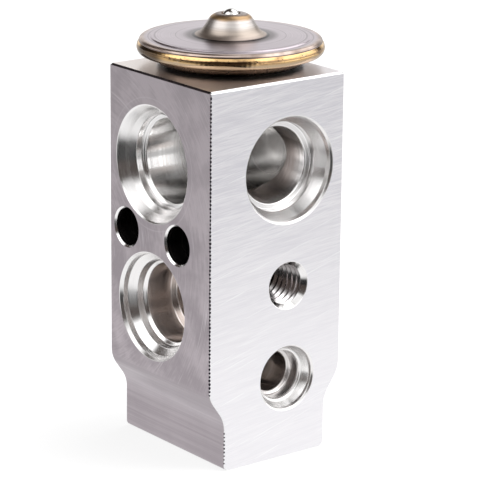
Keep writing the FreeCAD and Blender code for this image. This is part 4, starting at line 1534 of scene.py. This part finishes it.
@dataclass
class PowerHead:
    """The welded head on top of the block: two covers, their bead and the charge plug."""

    block_top: float = 66.0
    edge: float = 15.6
    segments: int = 256
    rim: float = 70.6
    lid_top: float = 70.8
    lid_step: Pair = (13.55, 13.75)
    sheet: float = 1.1
    dome_top: float = 74.65
    dome_foot: float = 70.9
    # Radii on the outside and on the inside of the dome's sheet.
    charge_hole: Pair = (1.62, 1.535)
    shoulder: Pair = (3.17, 2.5487)
    foot: Pair = (5.43, 4.8087)
    # Radii of the lower cover, and its heights from the block's top.
    collar: float = 8.95
    collar_inside: float = 6.3
    collar_depth: float = 6.2
    collar_chamfer: float = 0.5
    seat: float = 11.2
    seat_rise: float = 0.4
    cup_foot: float = 12.4
    cup_wall: float = 13.4
    cup_inside: Pair = (11.4, 12.8)
    cup_floor: float = 1.3
    flange_rises: Pair = (2.0, 3.3)
    bead_low: float = 68.05
    bead_high: float = 69.95
    bead_bulge: float = 0.4
    bead_steps: int = 28
    bead_ripples: int = 118
    ripple_segments: int = 8
    ripple_bow: float = 2.2
    bead_relief: float = 0.01
    seam_height: float = 69.22
    seam_width: float = 0.15
    seam_depth: float = 0.03
    plug_radius: float = 1.55
    plug_centre: float = 73.85
    plug_steps: int = 40
    plug_segments: int = 128
    witness_angles: Pair = (0.38, 0.44)
    witness_depth: float = 0.02

    def upper_cover(self) -> bpy.types.Object:
        """Turn the pressed lid with its domed, pierced middle.

        Returns:
            The cover.
        """
        rim, sheet = self.rim, self.sheet
        dome_top, dome_foot, lid_top = self.dome_top, self.dome_foot, self.lid_top
        step_in, step_out = self.lid_step
        outline = rounded([
            Corner(self.charge_hole[0], dome_top, 0.12), Corner(self.shoulder[0], dome_top, 2.2),
            Corner(self.foot[0], dome_foot, 2.9), Corner(step_in, lid_top, 0.15),
            Corner(step_out, rim, 0.1), Corner(self.edge, rim, 0.6),
            Corner(self.edge, rim - sheet), Corner(step_out, rim - sheet),
            Corner(step_in, lid_top - sheet), Corner(self.foot[1], dome_foot - sheet, 4.0),
            Corner(self.shoulder[1], dome_top - sheet, 1.1),
            Corner(self.charge_hole[1], dome_top - sheet)], steps=10)
        mesh = turned("pressed_lid", outline, self.segments, closed=True)
        return self.fitted(finished("pressed_lid", mesh), LID, "head_upper_cover", "cover_steel")

    def lower_cover(self) -> bpy.types.Object:
        """Turn the lower half with its collar, seat ring, cup and flange.

        Returns:
            The cover.
        """
        top = self.block_top
        collar_end = top - self.collar_depth
        collar_tip = self.collar - self.collar_chamfer
        low, high = (top + rise for rise in self.flange_rises)
        floor_radius, wall_radius = self.cup_inside
        outline = rounded([
            Corner(self.collar_inside, collar_end), Corner(collar_tip, collar_end),
            Corner(self.collar, collar_end + self.collar_chamfer), Corner(self.collar, top),
            Corner(self.seat, top), Corner(self.seat, top + self.seat_rise),
            Corner(self.cup_foot, top + self.seat_rise, 0.4), Corner(self.cup_wall, low, 0.4),
            Corner(self.edge, low, 0.2), Corner(self.edge, high), Corner(wall_radius, high),
            Corner(floor_radius, top + self.cup_floor),
            Corner(self.collar_inside, top + self.cup_floor)])
        mesh = turned("turned_cup", outline, self.segments, closed=True)
        return self.fitted(finished("turned_cup", mesh), CUP, "head_lower_cover", "tinted_steel")

    def bead_outline(self) -> list[Pair]:
        """Give the bead's bulged section with the groove of its seam.

        Returns:
            Radius and height of each point.
        """
        half = (self.bead_high - self.bead_low) / 2
        middle = self.bead_low + half
        arc = (half * half + self.bead_bulge ** 2) / (2 * self.bead_bulge)
        centre = self.edge + self.bead_bulge - arc
        reach = math.asin(half / arc)
        outline = []
        for step in range(self.bead_steps + 1):
            angle = reach * (2 * step / self.bead_steps - 1)
            height = middle + arc * math.sin(angle)
            off = (height - self.seam_height) / self.seam_width
            seam = self.seam_depth * math.exp(-off * off)
            outline.append((centre + arc * math.cos(angle) - seam, height))
        return outline

    def bead(self) -> bpy.types.Object:
        """Turn the bead, then let a Geometry Nodes tree lay its weld ripples.

        Returns:
            The bead.
        """
        half = (self.bead_high - self.bead_low) / 2
        segments = self.bead_ripples * self.ripple_segments
        mesh = turned("weld_ripples", self.bead_outline(), segments, closed=True)
        piece = finished("weld_ripples", mesh)
        recipe = Recipe("bead_ripples")
        pen = recipe.pen
        ripples = recipe.given("Ripples", float(self.bead_ripples))
        relief = recipe.given("Relief", self.bead_relief * MM)
        middle = recipe.given("Middle", (self.bead_low + half) * MM)
        breadth = recipe.given("Half Width", half * MM)
        across, deep, up = pen.parts(pen.node("GeometryNodeInputPosition").outputs[0])
        angle = pen.math("ARCTAN2", deep, across)
        off = pen.math("DIVIDE", pen.minus(up, middle), breadth)
        away = pen.times(off, off)
        wave = pen.math("SINE", pen.plus(pen.times(angle, ripples),
                                         pen.times(away, self.ripple_bow)))
        fade = pen.minus(1.0, away, clamp=True)
        depth = pen.times(pen.minus(wave, 1.0), pen.times(fade, pen.times(relief, 0.5)))
        outwards = pen.vector_math("NORMALIZE", pen.joined(across, deep, 0.0))
        move = pen.vector_math("MULTIPLY", outwards, pen.joined(depth, depth, depth))
        rippled = pen.node("GeometryNodeSetPosition", {
            "Geometry": recipe.start.outputs["Geometry"], "Offset": move})
        recipe.close(rippled.outputs[0], BEAD)
        recipe.grow(piece)
        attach(piece, Body.BLOCK.value)
        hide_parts("rim_weld_bead")
        return piece

    def plug(self) -> bpy.types.Object:
        """Turn the ball that was resistance welded into the charge hole, with its witness line.

        Returns:
            The plug.
        """
        low, high = self.witness_angles
        outline = []
        for step in range(self.plug_steps + 1):
            angle = math.pi * (step / self.plug_steps - 0.5)
            inward = self.witness_depth if low < angle < high else 0.0
            radius = self.plug_radius - inward
            pole = step in (0, self.plug_steps)
            outline.append((0.0 if pole else radius * math.cos(angle),
                            self.plug_centre + radius * math.sin(angle)))
        piece = finished("charge_ball", turned("charge_ball", outline, self.plug_segments))
        return self.fitted(piece, PLUG, "charge_plug", "ball_steel")

    @staticmethod
    def fitted(piece: bpy.types.Object, finish: Finish, node: str, slot: str) -> bpy.types.Object:
        """Dress a piece and let it stand for its node on the block.

        Args:
            piece: The piece.
            finish: Its finish.
            node: The node that it stands for.
            slot: Not used.

        Returns:
            The piece.
        """
        piece.data.materials.append(finish.material())
        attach(piece, Body.BLOCK.value)
        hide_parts(node)
        return piece

    def build(self) -> Iterator[bpy.types.Object]:
        """Make the head's pieces and dress the solids that stay.

        Returns:
            The pieces, one after the other.
        """
        yield self.lower_cover()
        yield self.upper_cover()
        yield self.bead()
        yield self.plug()
        yield dressed("diaphragm", SPRING)
        yield dressed("head_gasket_ring", RUBBER)


@dataclass
class ValveTrain:
    """The pieces that the diaphragm pushes, from the thrust disc down to the spring."""

    solids: tuple[tuple[str, Finish], ...] = (
        ("thrust_disc", SCREW), ("sensing_rod", ROD), ("push_pin", PLUG), ("valve_ball", PLUG),
        ("ball_carrier", SCREW), ("damper_spring", SPRING), ("valve_spring", SPRING),
        ("rod_seal_ring", RUBBER), ("seal_retainer", SPRING))

    def build(self) -> Iterator[bpy.types.Object]:
        """Dress the solids of the train."""
        for node, finish in self.solids:
            yield dressed(node, finish)


@dataclass
class Adjuster:
    """The adjusting screw in the foot and its seal."""

    screw: Finish = SCREW
    seal: Finish = RUBBER

    def build(self) -> Iterator[bpy.types.Object]:
        """Dress the screw and its seal ring."""
        yield dressed("adjusting_screw", self.screw)
        yield dressed("adjuster_seal_ring", self.seal)


def main() -> None:
    """Build and dress every sub-assembly and report its pieces."""
    logging.basicConfig(level=logging.INFO, format="%(name)s: %(message)s")
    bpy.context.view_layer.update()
    Studio().build()
    for assembly in (ValveBlock(), FixingThread(), PowerHead(), ValveTrain(), Adjuster()):
        for piece in assembly.build():
            LOG.info("%s: %s with %d faces", type(assembly).__name__, piece.name,
                     len(piece.data.polygons))


if __name__ == "__main__":
    main()
